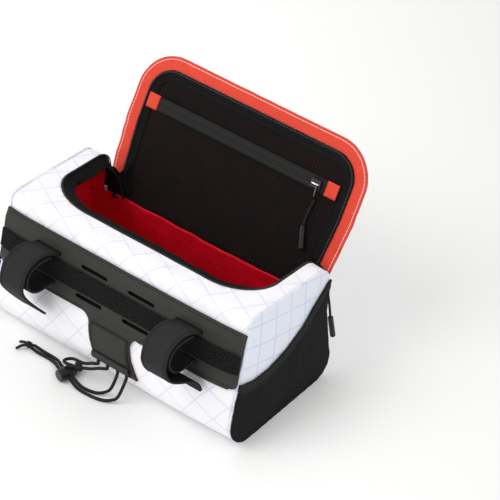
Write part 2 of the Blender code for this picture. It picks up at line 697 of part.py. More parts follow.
def build_strap(name, x, tail, skew):
    origin, down, out = strap_frame()
    route = strap_route(tail)
    tail_at = len(route) * 2 // 3
    rings = []
    for i, (d, o) in enumerate(route):
        before, after = route[max(i - 1, 0)], route[min(i + 1, len(route) - 1)]
        along = Vector((after[0] - before[0], after[1] - before[1])).normalized()
        side = Vector((-along.y, along.x)) * STRAP_WALL / 2
        shift = x + skew * max(0, (i - tail_at) / (len(route) - 1 - tail_at)) ** 2
        ring = []
        for sx, sn in ((-1, -1), (1, -1), (1, 1), (-1, 1)):
            place = origin + down * (d + side.x * sn) + out * (o + side.y * sn)
            ring.append(place + Vector((shift + sx * STRAP_WIDTH / 2, 0, 0)))
        rings.append(ring)
    keep(name, loft(name, rings), black_cloth())


def build_straps():
    x = SLOT_PITCH * 1.5
    build_strap("strap_left", -x, TAIL_HANGING, 0)
    build_strap("strap_right", x, TAIL_TUCKED, TUCK_SKEW)


def place_on(obj, centre, x_axis, y_axis):
    z_axis = x_axis.cross(y_axis).normalized()
    y_axis = z_axis.cross(x_axis).normalized()
    obj.matrix_world = Matrix.Translation(centre) @ Matrix((x_axis, y_axis, z_axis)).transposed().to_4x4()
    return obj


def block(name, size, mat):
    bm = bmesh.new()
    bmesh.ops.create_cube(bm, size=1)
    bmesh.ops.scale(bm, verts=bm.verts, vec=size)
    bmesh.ops.bevel(bm, geom=bm.edges[:], offset=min(size) * 0.2, segments=1, profile=0.5, affect="EDGES",
                    material=-1)
    return keep(name, mesh_of(bm, name), mat)


def circle(radius, height, sides=14):
    return [(radius * math.cos(math.tau * i / sides), radius * math.sin(math.tau * i / sides), height)
            for i in range(sides)]


def turned(name, profile, mat, sides=14):
    # A turned piece along its own Z, from (height, radius) pairs.
    return keep(name, loft(name, [circle(radius, height, sides) for height, radius in profile]), mat)


def grip(name, start, direction, length):
    edge = GRIP_DIAMETER * 0.12
    r = GRIP_DIAMETER / 2
    profile = [(0, r - edge), (edge, r), (length - edge, r), (length, r - edge)]
    obj = turned(name, profile, black_plastic(), 12)
    across = direction.orthogonal().normalized()
    return place_on(obj, start, across, direction.cross(across).normalized())


def build_main_zip_pull():
    x, s = MOUTH_HALF - COIL_DIAMETER / 2 - GAP, SLIDER_AT
    lift = COIL_DIAMETER - WALL + GAP
    centre = skin(x, s, -(lift + SLIDER_SIZE[2] / 2))
    up = (skin(x, s + 0.001, 0) - skin(x, s, 0)).normalized()
    slider = block("main_slider", SLIDER_SIZE, black_plastic())
    place_on(slider, centre, Vector((1, 0, 0)), up)
    route = [Vector(p) for p in MAIN_PULL_ROUTE]
    tube("main_pull_cord", route, PULL_CORD_DIAMETER, black_cloth(), 2.5 * PULL_CORD_DIAMETER)
    hang = Vector((0.16, 0, -1)).normalized()
    grip("main_pull_grip", route[-1] + hang * GAP, hang, MAIN_GRIP_LENGTH)


def build_pocket_zip_pull():
    on_strip = GAP + 2 * (TAPE_WALL + GAP)
    wide, high, thick = POCKET_SLIDER_SIZE
    x, v = POCKET_SLIDER_AT
    up = (lid_point(0, 1, 0) - lid_point(0, 0, 0)).normalized()
    slider = block("pocket_slider", POCKET_SLIDER_SIZE, slider_metal())
    place_on(slider, lid_point(x, v, on_strip + thick / 2), Vector((1, 0, 0)), up)
    foot = POCKET_PULL_ROUTE[0]
    rest = 2 * GAP + MESH_WALL + PULL_CORD_DIAMETER / 2
    gap = GAP + POCKET_WIRE / 2
    top = on_strip + thick + gap
    wire = [lid_point(x + wide * 0.25, v, top), lid_point(x + wide * 0.3, v - high * 0.55, top),
            lid_point(foot[0], foot[1] + high * 0.35, (top + rest) / 2 + POCKET_WIRE),
            lid_point(foot[0], foot[1] + gap, rest)]
    tube("pocket_pull_wire", wire, POCKET_WIRE, slider_metal(), 2.5 * POCKET_WIRE)
    route = [lid_point(a, b, rest) for a, b in POCKET_PULL_ROUTE]
    tube("pocket_pull_cord", route, PULL_CORD_DIAMETER, black_cloth(), 2.5 * PULL_CORD_DIAMETER)
    lift = (GRIP_DIAMETER - PULL_CORD_DIAMETER) / 2
    start = lid_point(*POCKET_PULL_ROUTE[-1], rest + lift)
    hang = (lid_point(0.0062, -0.018, 0) - lid_point(0, 0, 0)).normalized()
    grip("pocket_pull_grip", start + hang * GAP, hang, POCKET_GRIP_LENGTH)


def lock_frame():
    along = Vector((math.cos(LOCK_TURN), math.sin(LOCK_TURN), 0))
    foot = Vector((*LOCK_FOOT, LOCK_DIAMETER / 2 + GAP / 3))
    return foot, along, Vector((along.y, -along.x, 0))


def lay_lock_part(obj, at=0.0):
    foot, along, across = lock_frame()
    return place_on(obj, foot + along * at, across, along.cross(across))


def build_cord_lock():
    r, edge = LOCK_DIAMETER / 2, LOCK_DIAMETER * 0.08
    body = turned("cord_lock_body", [(0, r - edge), (edge, r), (LOCK_BODY_LENGTH - edge, r),
                                     (LOCK_BODY_LENGTH, r - edge)], black_plastic(), 16)
    lay_lock_part(body)
    half, open_r = (LOCK_SLOT_LENGTH - LOCK_SLOT_OPEN) / 2, LOCK_SLOT_OPEN / 2
    outline = [(a + LOCK_SLOT_AT, b) for a, b in
               arc_points((half, 0), open_r, -90, 90, 4) + arc_points((-half, 0), open_r, 90, 270, 4)]
    slot = cutter("cord_slot", loft("cord_slot", [[(y, b, a) for a, b in outline]
                                                  for y in (-LOCK_DIAMETER, LOCK_DIAMETER)]))
    lay_lock_part(slot)
    cut(body, slot)
    bore_end = LOCK_BODY_LENGTH - STEM_ENGAGED - LOCK_TRAVEL - STEM_CLEARANCE
    bore_r = STEM_DIAMETER / 2 + STEM_CLEARANCE
    bore = cutter("stem_bore", loft("stem_bore", [circle(bore_r, z) for z in
                                                  (bore_end, LOCK_BODY_LENGTH + LOCK_TRAVEL)]))
    lay_lock_part(bore)
    cut(body, bore)
    stem, cap = STEM_DIAMETER / 2, CAP_DIAMETER / 2
    neck = STEM_ENGAGED + LOCK_TRAVEL + STEM_CLEARANCE
    button = turned("cord_lock_button", [(0, stem), (neck, stem), (neck, cap - edge), (neck + edge, cap),
                                         (neck + CAP_LENGTH - edge, cap), (neck + CAP_LENGTH, cap - edge)],
                    black_plastic())
    lay_lock_part(button, LOCK_BODY_LENGTH - STEM_ENGAGED)


def tunnel_mouth(x):
    # Where a strand leaves the tunnel under the tab, and the next point straight below it.
    foot = S_BAND + BAND_HEIGHT + TAB_DROP - PATCH_MARGIN
    out = 2 * FACET_GAP + BAND_WALL + TUNNEL_WALL / 2
    face, below = skin(x, foot, -out), skin(x, foot + CORD_DIAMETER, -out)
    down = (below - face).normalized()
    return [face + down * GAP, face + down * 1.5 * CORD_DIAMETER]


def build_cords():
    step = 2.5 * CORD_DIAMETER
    ends = [tunnel_mouth(x) for x in CORD_AT_TAB]
    tube("shock_cord_outer", [*OUTER_ROUTE, *ends[3][::-1]], CORD_DIAMETER, black_cloth(), step)
    tube("shock_cord_inner", [*INNER_ROUTE, *ends[2][::-1]], CORD_DIAMETER, black_cloth(), step)
    tube("lock_loop", [*ends[0], *LOOP_ROUTE, *ends[1][::-1]], CORD_DIAMETER, black_cloth(), step)
    bm = bmesh.new()
    bmesh.ops.create_uvsphere(bm, u_segments=12, v_segments=7, radius=KNOT_RADIUS)
    knot = keep("cord_knot", mesh_of(bm, "cord_knot"), black_cloth())
    knot.location = KNOT_AT
    for i, (x, y) in enumerate(KNOT_TAILS):
        start = Vector(KNOT_AT)
        end = Vector((x, y, CORD_DIAMETER / 2 + GAP))
        along = (end - start).normalized()
        across = along.cross(Vector((0, 0, 1))).normalized()
        ring = circle(CORD_DIAMETER / 2, 0, 8)
        tail = cutter(f"knot_tail_{i}", loft("knot_tail", [[(a, b, z) for a, b, _ in ring]
                                                           for z in (0, (end - start).length)]))
        place_on(tail, start, across, along.cross(across))
        cut(knot, tail, "UNION")


def build():
    clear_scene()
    build_body()
    build_rim()
    build_end_pockets()
    build_lid()
    build_band()
    build_straps()
    build_main_zip_pull()
    build_pocket_zip_pull()
    build_cord_lock()
    build_cords()


build()
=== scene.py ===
import math
from bisect import bisect_right

import bmesh
import bpy
from mathutils import Matrix, Vector, noise


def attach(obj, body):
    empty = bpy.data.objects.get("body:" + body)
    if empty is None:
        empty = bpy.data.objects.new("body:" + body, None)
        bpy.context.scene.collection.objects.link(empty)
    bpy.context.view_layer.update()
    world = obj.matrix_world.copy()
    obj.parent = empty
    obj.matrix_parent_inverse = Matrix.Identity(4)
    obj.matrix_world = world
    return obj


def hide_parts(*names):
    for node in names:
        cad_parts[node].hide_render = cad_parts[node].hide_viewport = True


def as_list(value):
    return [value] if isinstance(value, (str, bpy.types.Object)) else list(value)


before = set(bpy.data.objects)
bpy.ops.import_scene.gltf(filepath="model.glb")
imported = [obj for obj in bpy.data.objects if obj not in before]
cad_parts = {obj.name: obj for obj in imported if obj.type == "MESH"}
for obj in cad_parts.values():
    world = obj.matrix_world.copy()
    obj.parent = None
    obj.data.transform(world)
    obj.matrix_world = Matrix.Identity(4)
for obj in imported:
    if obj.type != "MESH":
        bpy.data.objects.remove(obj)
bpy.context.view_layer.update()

# Everything is in metres: X across the bag, -Y towards the handlebar, Z up from the floor.


# The camera stands where the photograph was taken from

camera = {
    "turn": 39.15,
    "lift": 39.94,
    "roll": 0.23,
    "lens": 201.6,
    "distance": 2.3754,
    "aside": 0.06049,
    "above": 0.06703,
}


def addCamera():
    turn, lift, roll = (math.radians(camera[key]) for key in ("turn", "lift", "roll"))
    right = Vector((math.cos(turn), math.sin(turn), 0))
    up = Vector((-math.sin(turn) * math.sin(lift), math.cos(turn) * math.sin(lift), math.cos(lift)))
    back = right.cross(up)
    tiltedRight = right * math.cos(roll) + up * math.sin(roll)
    tiltedUp = up * math.cos(roll) - right * math.sin(roll)
    place = back * camera["distance"] + tiltedRight * camera["aside"] + tiltedUp * camera["above"]
    lens = bpy.data.cameras.new("camera")
    lens.lens = camera["lens"]
    lens.sensor_width = 36
    eye = bpy.data.objects.new("camera", lens)
    bpy.context.scene.collection.objects.link(eye)
    eye.matrix_world = Matrix.Translation(place) @ Matrix((tiltedRight, tiltedUp, back)).transposed().to_4x4()
    bpy.context.scene.camera = eye


addCamera()
print("camera set")


# The bag's skin: a section through its width, measured along the cloth from the lid's hinge

bag = {
    "width": 0.254,
    "height": 0.1215,
    "corners": (  # y, z and radius, from the hinge over the top and down the front
        (0.045, 0.070, 0),
        (0.045, 0.113, 0.018),
        (-0.0605, 0.1215, 0.008),
        (-0.087, 0.049, 0.045),
        (-0.095, 0, 0.026),
        (0.045, 0, 0.024),
    ),
    "pinch": 0.0058,
    "backPinch": 0.0040,
    "pinchZone": 0.035,
    "dome": 0.003,
    "wall": 0.0016,
    "fold": 0.0011,
}
half = bag["width"] / 2


def roundedCorners(corners, step):
    points = []
    for i, (a, b, radius) in enumerate(corners):
        here = Vector((a, b))
        arrive = (here - Vector(corners[i - 1][:2])).normalized()
        leave = (Vector(corners[(i + 1) % len(corners)][:2]) - here).normalized()
        turn = math.atan2(arrive.cross(leave), arrive.dot(leave))
        steps = max(1, math.ceil(turn / math.radians(step))) if radius else 0
        right = Vector((arrive.y, -arrive.x))
        centre = here - arrive * radius * math.tan(turn / 2) - right * radius
        for j in range(steps + 1):
            normal = Matrix.Rotation(turn * j / steps if steps else turn / 2, 2) @ right
            points.append((centre + normal * radius if radius else here, normal, i))
    return points


def measureSection():
    points = roundedCorners(bag["corners"], 5)
    points[0] = (points[0][0], Vector((1, 0)), 0)
    points.append((points[0][0], Vector((1, 0)), 0))
    table = [(0.0, *points[0])]
    for place, normal, corner in points[1:]:
        table.append((table[-1][0] + (place - table[-1][1]).length, place, normal, corner))
    return table


section = measureSection()
sectionAt = [row[0] for row in section]
cloth = sectionAt[-1]  # once round the bag
topFront = max(row[0] for row in section if row[3] == 2) - 0.008 * math.pi / 5
rimAt = topFront - 0.0185
bandAt = topFront + 0.0125


def skin(x, s, depth=0.0):
    i = min(max(bisect_right(sectionAt, s) - 1, 0), len(section) - 2)
    before, after = section[i], section[i + 1]
    share = (s - before[0]) / (after[0] - before[0])
    place = before[1].lerp(after[1], share)
    normal = before[2].lerp(after[2], share).normalized()
    level = min(max(place.y / bag["height"], 0), 1)
    outer = min(max((abs(x) - half + bag["pinchZone"]) / bag["pinchZone"], 0), 1)
    pinch = bag["pinch"] + bag["backPinch"] * max(normal.x, 0)
    depth += pinch * math.sin(math.pi * level) ** 1.2 * outer ** 2
    return Vector((x, place.x - normal.x * depth, place.y - normal.y * depth))


def softness(x, s):
    # How far the loose cloth sinks in: long folds that fade at the floor
    level = skin(x, s).z / bag["height"]
    long = noise.noise(Vector((x * 14, s * 22, 3.1)))
    short = noise.noise(Vector((x * 45 + s * 20, s * 38, 8.7)))
    return bag["fold"] * (0.35 + long * 0.9 + short * 0.3) * min(max(level * 7, 0), 1)


def softSkin(x, s, depth=0.0):
    return skin(x, s, depth + softness(x, s))


# Cloth is cut flat, squared into small cells so that it can bend, and then laid in place

def cutFlat(name, outlines, cell):
    curve = bpy.data.curves.new(name, "CURVE")
    curve.dimensions = "2D"
    curve.fill_mode = "BOTH"
    for outline in outlines:
        line = curve.splines.new("POLY")
        line.points.add(len(outline) - 1)
        for point, place in zip(line.points, outline):
            point.co = (place[0], place[1], 0, 1)
        line.use_cyclic_u = True
    flat = bpy.data.objects.new(name, curve)
    bpy.context.scene.collection.objects.link(flat)
    bpy.context.view_layer.update()
    mesh = bpy.data.meshes.new_from_object(flat.evaluated_get(bpy.context.evaluated_depsgraph_get()))
    bpy.data.objects.remove(flat)
    piece = bmesh.new()
    piece.from_mesh(mesh)
    bpy.data.meshes.remove(mesh)
    bmesh.ops.remove_doubles(piece, verts=piece.verts, dist=1e-6)
    bmesh.ops.dissolve_degenerate(piece, edges=piece.edges, dist=1e-5)
    for axis in (0, 1):
        low = min(vert.co[axis] for vert in piece.verts)
        high = max(vert.co[axis] for vert in piece.verts)
        for i in range(math.ceil(low / cell), math.floor(high / cell) + 1):
            place, normal = Vector(), Vector()
            place[axis], normal[axis] = i * cell, 1
            geom = piece.verts[:] + piece.edges[:] + piece.faces[:]
            bmesh.ops.bisect_plane(piece, geom=geom, dist=1e-6, plane_co=place, plane_no=normal)
    loose = [vert for vert in piece.verts if not vert.link_faces]
    bmesh.ops.delete(piece, geom=loose, context="VERTS")
    for face in piece.faces:
        if face.normal.z < 0:
            face.normal_flip()
    grain = piece.loops.layers.uv.new("cloth")
    for face in piece.faces:
        for loop in face.loops:
            loop[grain].uv = loop.vert.co.xy
    return piece


def layCloth(name, outlines, cell, place, wall, finish, backFinish=None):
    piece = cutFlat(name, outlines, cell)
    for vert in piece.verts:
        vert.co = place(vert.co.x, vert.co.y)
    obj = addPiece(name, piece, finish)
    if backFinish:
        obj.data.materials.append(finishes[backFinish])
    thick = obj.modifiers.new("thickness", "SOLIDIFY")
    thick.thickness = wall
    thick.offset = -1
    thick.use_even_offset = False
    if backFinish:
        thick.material_offset = 1
        thick.material_offset_rim = 0
    return obj


def addPiece(name, piece, finish, smooth=True):
    mesh = bpy.data.meshes.new(name)
    piece.to_mesh(mesh)
    piece.free()
    obj = bpy.data.objects.new(name, mesh)
    bpy.context.scene.collection.objects.link(obj)
    mesh.materials.append(finishes[finish])
    if smooth:
        mesh.shade_smooth()
    return obj


def wear(obj, nodes=(), body="bag"):
    # The piece rides on its body and stands for its CAD nodes
    if nodes:
        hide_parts(*nodes)
    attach(obj, body)
    return obj


def smoothRoute(points, step):
    points = [Vector(p) for p in points]
    ends = [2 * points[0] - points[1], *points, 2 * points[-1] - points[-2]]
    route = []
    for a, b, c, d in zip(ends, ends[1:], ends[2:], ends[3:]):
        count = max(1, round((c - b).length / step))
        for i in range(count):
            t = i / count
            route.append(0.5 * (2 * b + (c - a) * t + (2 * a - 5 * b + 4 * c - d) * t * t
                                + (3 * b - a - 3 * c + d) * t ** 3))
    return route + [points[-1]]


def routeLength(route):
    return sum((b - a).length for a, b in zip(route, route[1:]))


def arcPoints(centre, radius, start, end, steps=6):
    turns = (math.radians(start + (end - start) * i / steps) for i in range(steps + 1))
    return [(centre[0] + radius * math.cos(a), centre[1] + radius * math.sin(a)) for a in turns]


def stepped(route, step):
    # The same open line with points no further apart than a step
    fine = [Vector(route[0])]
    for a, b in zip(route, route[1:]):
        a, b = Vector(a), Vector(b)
        count = max(1, math.ceil((b - a).length / step))
        fine += [a.lerp(b, i / count) for i in range(1, count + 1)]
    return fine


def addStitches(name, routes, finish, stitch=0.0024, gap=0.0008, thread=0.0005):
    # Rows of short raised threads that lie on the cloth
    curve = bpy.data.curves.new(name, "CURVE")
    curve.dimensions = "3D"
    curve.bevel_depth = thread / 2
    curve.bevel_resolution = 0
    curve.use_fill_caps = True
    for route in routes:
        lengths = [0.0]
        for a, b in zip(route, route[1:]):
            lengths.append(lengths[-1] + (b - a).length)
        count = int(lengths[-1] / (stitch + gap))
        for k in range(count):
            start = lengths[-1] * k / count
            line = curve.splines.new("POLY")
            line.points.add(2)
            for point, t in zip(line.points, (start, start + stitch / 2, start + stitch)):
                i = min(max(bisect_right(lengths, t) - 1, 0), len(route) - 2)
                share = (t - lengths[i]) / (lengths[i + 1] - lengths[i])
                point.co = (*route[i].lerp(route[i + 1], share), 1)
    curve.materials.append(finishes[finish])
    obj = bpy.data.objects.new(name, curve)
    bpy.context.scene.collection.objects.link(obj)
    return wear(obj)


def boxOutline(x0, x1, y0, y1):
    return [(x0, y0), (x1, y0), (x1, y1), (x0, y1)]


# Finishes

finishes = {}


def newFinish(name, color, roughness, metallic=0.0, gloss=0.5):
    finish = bpy.data.materials.new(name)
    finish.use_nodes = True
    shader = finish.node_tree.nodes["Principled BSDF"]
    shader.inputs["Base Color"].default_value = (*color, 1)
    shader.inputs["Roughness"].default_value = roughness
    shader.inputs["Metallic"].default_value = metallic
    shader.inputs["Specular IOR Level"].default_value = gloss
    finishes[name] = finish
    return finish.node_tree, shader


def addNode(tree, kind, settings=(), **sockets):
    node = tree.nodes.new(kind)
    for key, value in dict(settings).items():
        setattr(node, key, value)
    for key, value in sockets.items():
        socket = node.inputs[int(key[1:])] if key[0] == "i" and key[1:].isdigit() else node.inputs[key.replace("_", " ")]
        if isinstance(value, bpy.types.NodeSocket):
            tree.links.new(value, socket)
        else:
            socket.default_value = value
    return node


def clothPlace(tree):
    return addNode(tree, "ShaderNodeUVMap", {"uv_map": "cloth"}).outputs[0]


def objectPlace(tree):
    return addNode(tree, "ShaderNodeTexCoord").outputs["Object"]


def turned(tree, place, turn, scale=1.0):
    return addNode(tree, "ShaderNodeMapping", Vector=place, Rotation=(0, 0, math.radians(turn)), Scale=(scale, scale, scale)).outputs[0]


def gridLine(tree, place, turn, pitch, width, shift=0.0):
    # 1 on lines a pitch apart, 0 between them, with a soft edge
    across = addNode(tree, "ShaderNodeSeparateXYZ", Vector=turned(tree, place, turn)).outputs[0]
    moved = addNode(tree, "ShaderNodeMath", {"operation": "ADD"}, i0=across, i1=shift).outputs[0]
    wave = addNode(tree, "ShaderNodeMath", {"operation": "PINGPONG"}, i0=moved, i1=pitch / 2).outputs[0]
    return addNode(tree, "ShaderNodeMapRange", {"interpolation_type": "SMOOTHSTEP"}, Value=wave, From_Min=width * 0.35,
                   From_Max=width * 0.75, To_Min=1.0, To_Max=0.0).outputs[0]


def noiseAt(tree, place, scale, detail=2.0, roughness=0.5):
    return addNode(tree, "ShaderNodeTexNoise", Vector=place, Scale=scale, Detail=detail, Roughness=roughness).outputs[0]


def weaveHeight(tree, place, pitch, turn=0.0):
    # Two crossed sets of threads
    scaled = turned(tree, place, turn)
    waves = [addNode(tree, "ShaderNodeTexWave", {"wave_type": "BANDS", "bands_direction": axis}, Vector=scaled,
                     Scale=0.314 / pitch).outputs[1] for axis in ("X", "Y")]
    return addNode(tree, "ShaderNodeMath", {"operation": "MAXIMUM"}, i0=waves[0], i1=waves[1]).outputs[0]


def blendColors(tree, amount, low, high):
    mix = addNode(tree, "ShaderNodeMix", {"data_type": "RGBA"})
    for socket, value in ((mix.inputs[0], amount), (mix.inputs[6], low), (mix.inputs[7], high)):
        if isinstance(value, bpy.types.NodeSocket):
            tree.links.new(value, socket)
        else:
            socket.default_value = value if isinstance(value, float) else (*value[:3], 1)
    return mix.outputs[2]


def addBumps(tree, shader, layers):
    # Each layer is (height, depth in metres)
    normal = None
    for height, depth in layers:
        bump = addNode(tree, "ShaderNodeBump", Height=height, Distance=depth, Strength=1.0)
        if normal:
            tree.links.new(normal, bump.inputs["Normal"])
        normal = bump.outputs[0]
    tree.links.new(normal, shader.inputs["Normal"])


def makeRipstop(name, color, lineColor, turns, blush):
    tree, shader = newFinish(name, color, 0.55)
    place = clothPlace(tree)
    wander = noiseAt(tree, place, 25, 2)
    bent = addNode(tree, "ShaderNodeVectorMath", {"operation": "MULTIPLY_ADD"}, i0=place, i1=(1, 1, 1),
                   i2=addNode(tree, "ShaderNodeCombineXYZ", X=addNode(tree, "ShaderNodeMath", {"operation": "MULTIPLY"},
                              i0=wander, i1=0.004).outputs[0]).outputs[0]).outputs[0]
    lines = [gridLine(tree, bent, turn, pitch, 0.0011, shift) for turn, pitch, shift in turns]
    both = addNode(tree, "ShaderNodeMath", {"operation": "MAXIMUM"}, i0=lines[0], i1=lines[1]).outputs[0]
    patchy = addNode(tree, "ShaderNodeMapRange", Value=noiseAt(tree, place, 30, 3), From_Min=0.35, From_Max=0.75,
                     To_Min=0.45, To_Max=1.0).outputs[0]
    faded = addNode(tree, "ShaderNodeMath", {"operation": "MULTIPLY"}, i0=both, i1=patchy).outputs[0]
    pink = addNode(tree, "ShaderNodeMapRange", Value=noiseAt(tree, place, 16, 3), From_Min=0.5, From_Max=0.8,
                   To_Min=0.0, To_Max=1.0).outputs[0]
    cloudy = blendColors(tree, pink, color, blush)
    tree.links.new(blendColors(tree, faded, cloudy, lineColor), shader.inputs["Base Color"])
    creases = noiseAt(tree, place, 60, 4, 0.6)
    addBumps(tree, shader, [(creases, 0.0016), (weaveHeight(tree, place, 0.0006), 0.00006), (both, 0.0001)])
    shader.inputs["Sheen Weight"].default_value = 0.1


def makePlainWeave(name, color, dark, roughness, pitch, depth, crease, gloss=0.3):
    tree, shader = newFinish(name, color, roughness, gloss=gloss)
    place = clothPlace(tree)
    cloudy = blendColors(tree, noiseAt(tree, place, 90, 4), dark, color)
    tree.links.new(cloudy, shader.inputs["Base Color"])
    addBumps(tree, shader, [(noiseAt(tree, place, 70, 4, 0.6), crease), (weaveHeight(tree, place, pitch), depth)])


def makeFinishes():
    makeRipstop("whiteRipstop", (0.89, 0.88, 0.91), (0.66, 0.70, 0.87), ((35, 0.021, 0.0), (-62, 0.019, 0.006)),
                (0.91, 0.84, 0.86))
    # The ends use a darker, bluer copy of the white ripstop: painted shade for the less lit end panels
    makeRipstop("whiteEndsPaintedShade", (0.78, 0.81, 0.90), (0.52, 0.60, 0.84), ((8, 0.019, 0.004), (-75, 0.019, 0.0)),
                (0.76, 0.80, 0.90))
    makePlainWeave("orangeCloth", (0.76, 0.060, 0.026), (0.64, 0.040, 0.018), 0.6, 0.0006, 0.00005, 0.0014)
    makePlainWeave("redLining", (0.78, 0.003, 0.020), (0.50, 0.002, 0.012), 0.6, 0.0006, 0.00005, 0.0018, 0.2)
    makePlainWeave("darkRedEdge", (0.36, 0.008, 0.010), (0.26, 0.006, 0.008), 0.6, 0.0005, 0.00005, 0.0002)
    makePlainWeave("blackTape", (0.008, 0.008, 0.008), (0.004, 0.004, 0.004), 0.8, 0.0009, 0.00014, 0.0004, 0.14)
    makePlainWeave("bandLaminate", (0.031, 0.031, 0.027), (0.022, 0.022, 0.019), 0.65, 0.0005, 0.00004, 0.0003)
    makePlainWeave("strapFabric", (0.019, 0.0195, 0.0185), (0.012, 0.012, 0.0115), 0.75, 0.0007, 0.0001, 0.0003, 0.25)
    makePlainWeave("hemKnit", (0.020, 0.020, 0.0205), (0.013, 0.013, 0.0135), 0.8, 0.0010, 0.00012, 0.0006, 0.16)

    tree, shader = newFinish("loopPile", (0.006, 0.006, 0.006), 0.95, gloss=0.1)
    place = clothPlace(tree)
    pile = noiseAt(tree, place, 1100, 3, 0.75)
    specks = addNode(tree, "ShaderNodeMapRange", Value=pile, From_Min=0.48, From_Max=0.72).outputs[0]
    tree.links.new(blendColors(tree, specks, (0.003, 0.003, 0.003), (0.055, 0.055, 0.052)), shader.inputs["Base Color"])
    addBumps(tree, shader, [(pile, 0.0010)])

    tree, shader = newFinish("pocketKnit", (0.008, 0.008, 0.0085), 0.85, gloss=0.12)
    place = clothPlace(tree)
    ribs = addNode(tree, "ShaderNodeTexWave", {"wave_type": "BANDS", "bands_direction": "X"}, Vector=place,
                   Scale=0.314 / 0.0024, Distortion=0.5, Detail=2.0, Detail_Scale=1.5).outputs[1]
    tree.links.new(blendColors(tree, ribs, (0.004, 0.004, 0.004), (0.014, 0.014, 0.015)), shader.inputs["Base Color"])
    addBumps(tree, shader, [(noiseAt(tree, place, 50, 3), 0.0008), (ribs, 0.00025),
                            (weaveHeight(tree, place, 0.0006, 45), 0.00008)])

    tree, shader = newFinish("lidMesh", (0.008, 0.006, 0.006), 0.8, gloss=0.1)
    place = clothPlace(tree)
    ribs = addNode(tree, "ShaderNodeTexWave", {"wave_type": "BANDS", "bands_direction": "X"}, Vector=place,
                   Scale=0.314 / 0.0034, Distortion=1.2, Detail=2.0).outputs[1]
    holes = noiseAt(tree, place, 45, 5, 0.7)
    show = addNode(tree, "ShaderNodeMath", {"operation": "MULTIPLY"}, i0=ribs, i1=holes).outputs[0]
    show = addNode(tree, "ShaderNodeMapRange", Value=show, From_Min=0.25, From_Max=0.6).outputs[0]
    tree.links.new(blendColors(tree, show, (0.005, 0.0045, 0.0045), (0.020, 0.0055, 0.0055)), shader.inputs["Base Color"])
    addBumps(tree, shader, [(holes, 0.0006), (ribs, 0.0001), (weaveHeight(tree, place, 0.0008, 30), 0.0001)])

    tree, shader = newFinish("blackMoulded", (0.006, 0.006, 0.006), 0.3, gloss=0.4)
    place = objectPlace(tree)
    addBumps(tree, shader, [(noiseAt(tree, place, 2500, 2), 0.00003)])
    tree, shader = newFinish("zipCoil", (0.012, 0.012, 0.012), 0.2, gloss=0.7)
    place = objectPlace(tree)
    addBumps(tree, shader, [(noiseAt(tree, place, 3000, 2), 0.00002)])
    tree, shader = newFinish("darkMetal", (0.16, 0.16, 0.165), 0.2, 1.0)
    place = objectPlace(tree)
    addBumps(tree, shader, [(noiseAt(tree, place, 1800, 2), 0.00002)])
    tree, shader = newFinish("braidedCord", (0.010, 0.010, 0.010), 0.65, gloss=0.25)
    place = objectPlace(tree)
    braid = addNode(tree, "ShaderNodeTexVoronoi", Vector=place, Scale=1500.0).outputs[0]
    tree.links.new(blendColors(tree, braid, (0.016, 0.016, 0.015), (0.004, 0.004, 0.004)), shader.inputs["Base Color"])
    addBumps(tree, shader, [(braid, 0.0002)])
    tree, shader = newFinish("brightMetal", (0.82, 0.82, 0.80), 0.16, 1.0)
    place = objectPlace(tree)
    addBumps(tree, shader, [(noiseAt(tree, place, 1500, 2), 0.00002)])
    newFinish("whiteThread", (0.90, 0.84, 0.81), 0.6)
    newFinish("blackThread", (0.003, 0.003, 0.003), 0.6, gloss=0.2)


makeFinishes()
print("finishes made")


# Shock cord, with its knot and cord lock on the floor

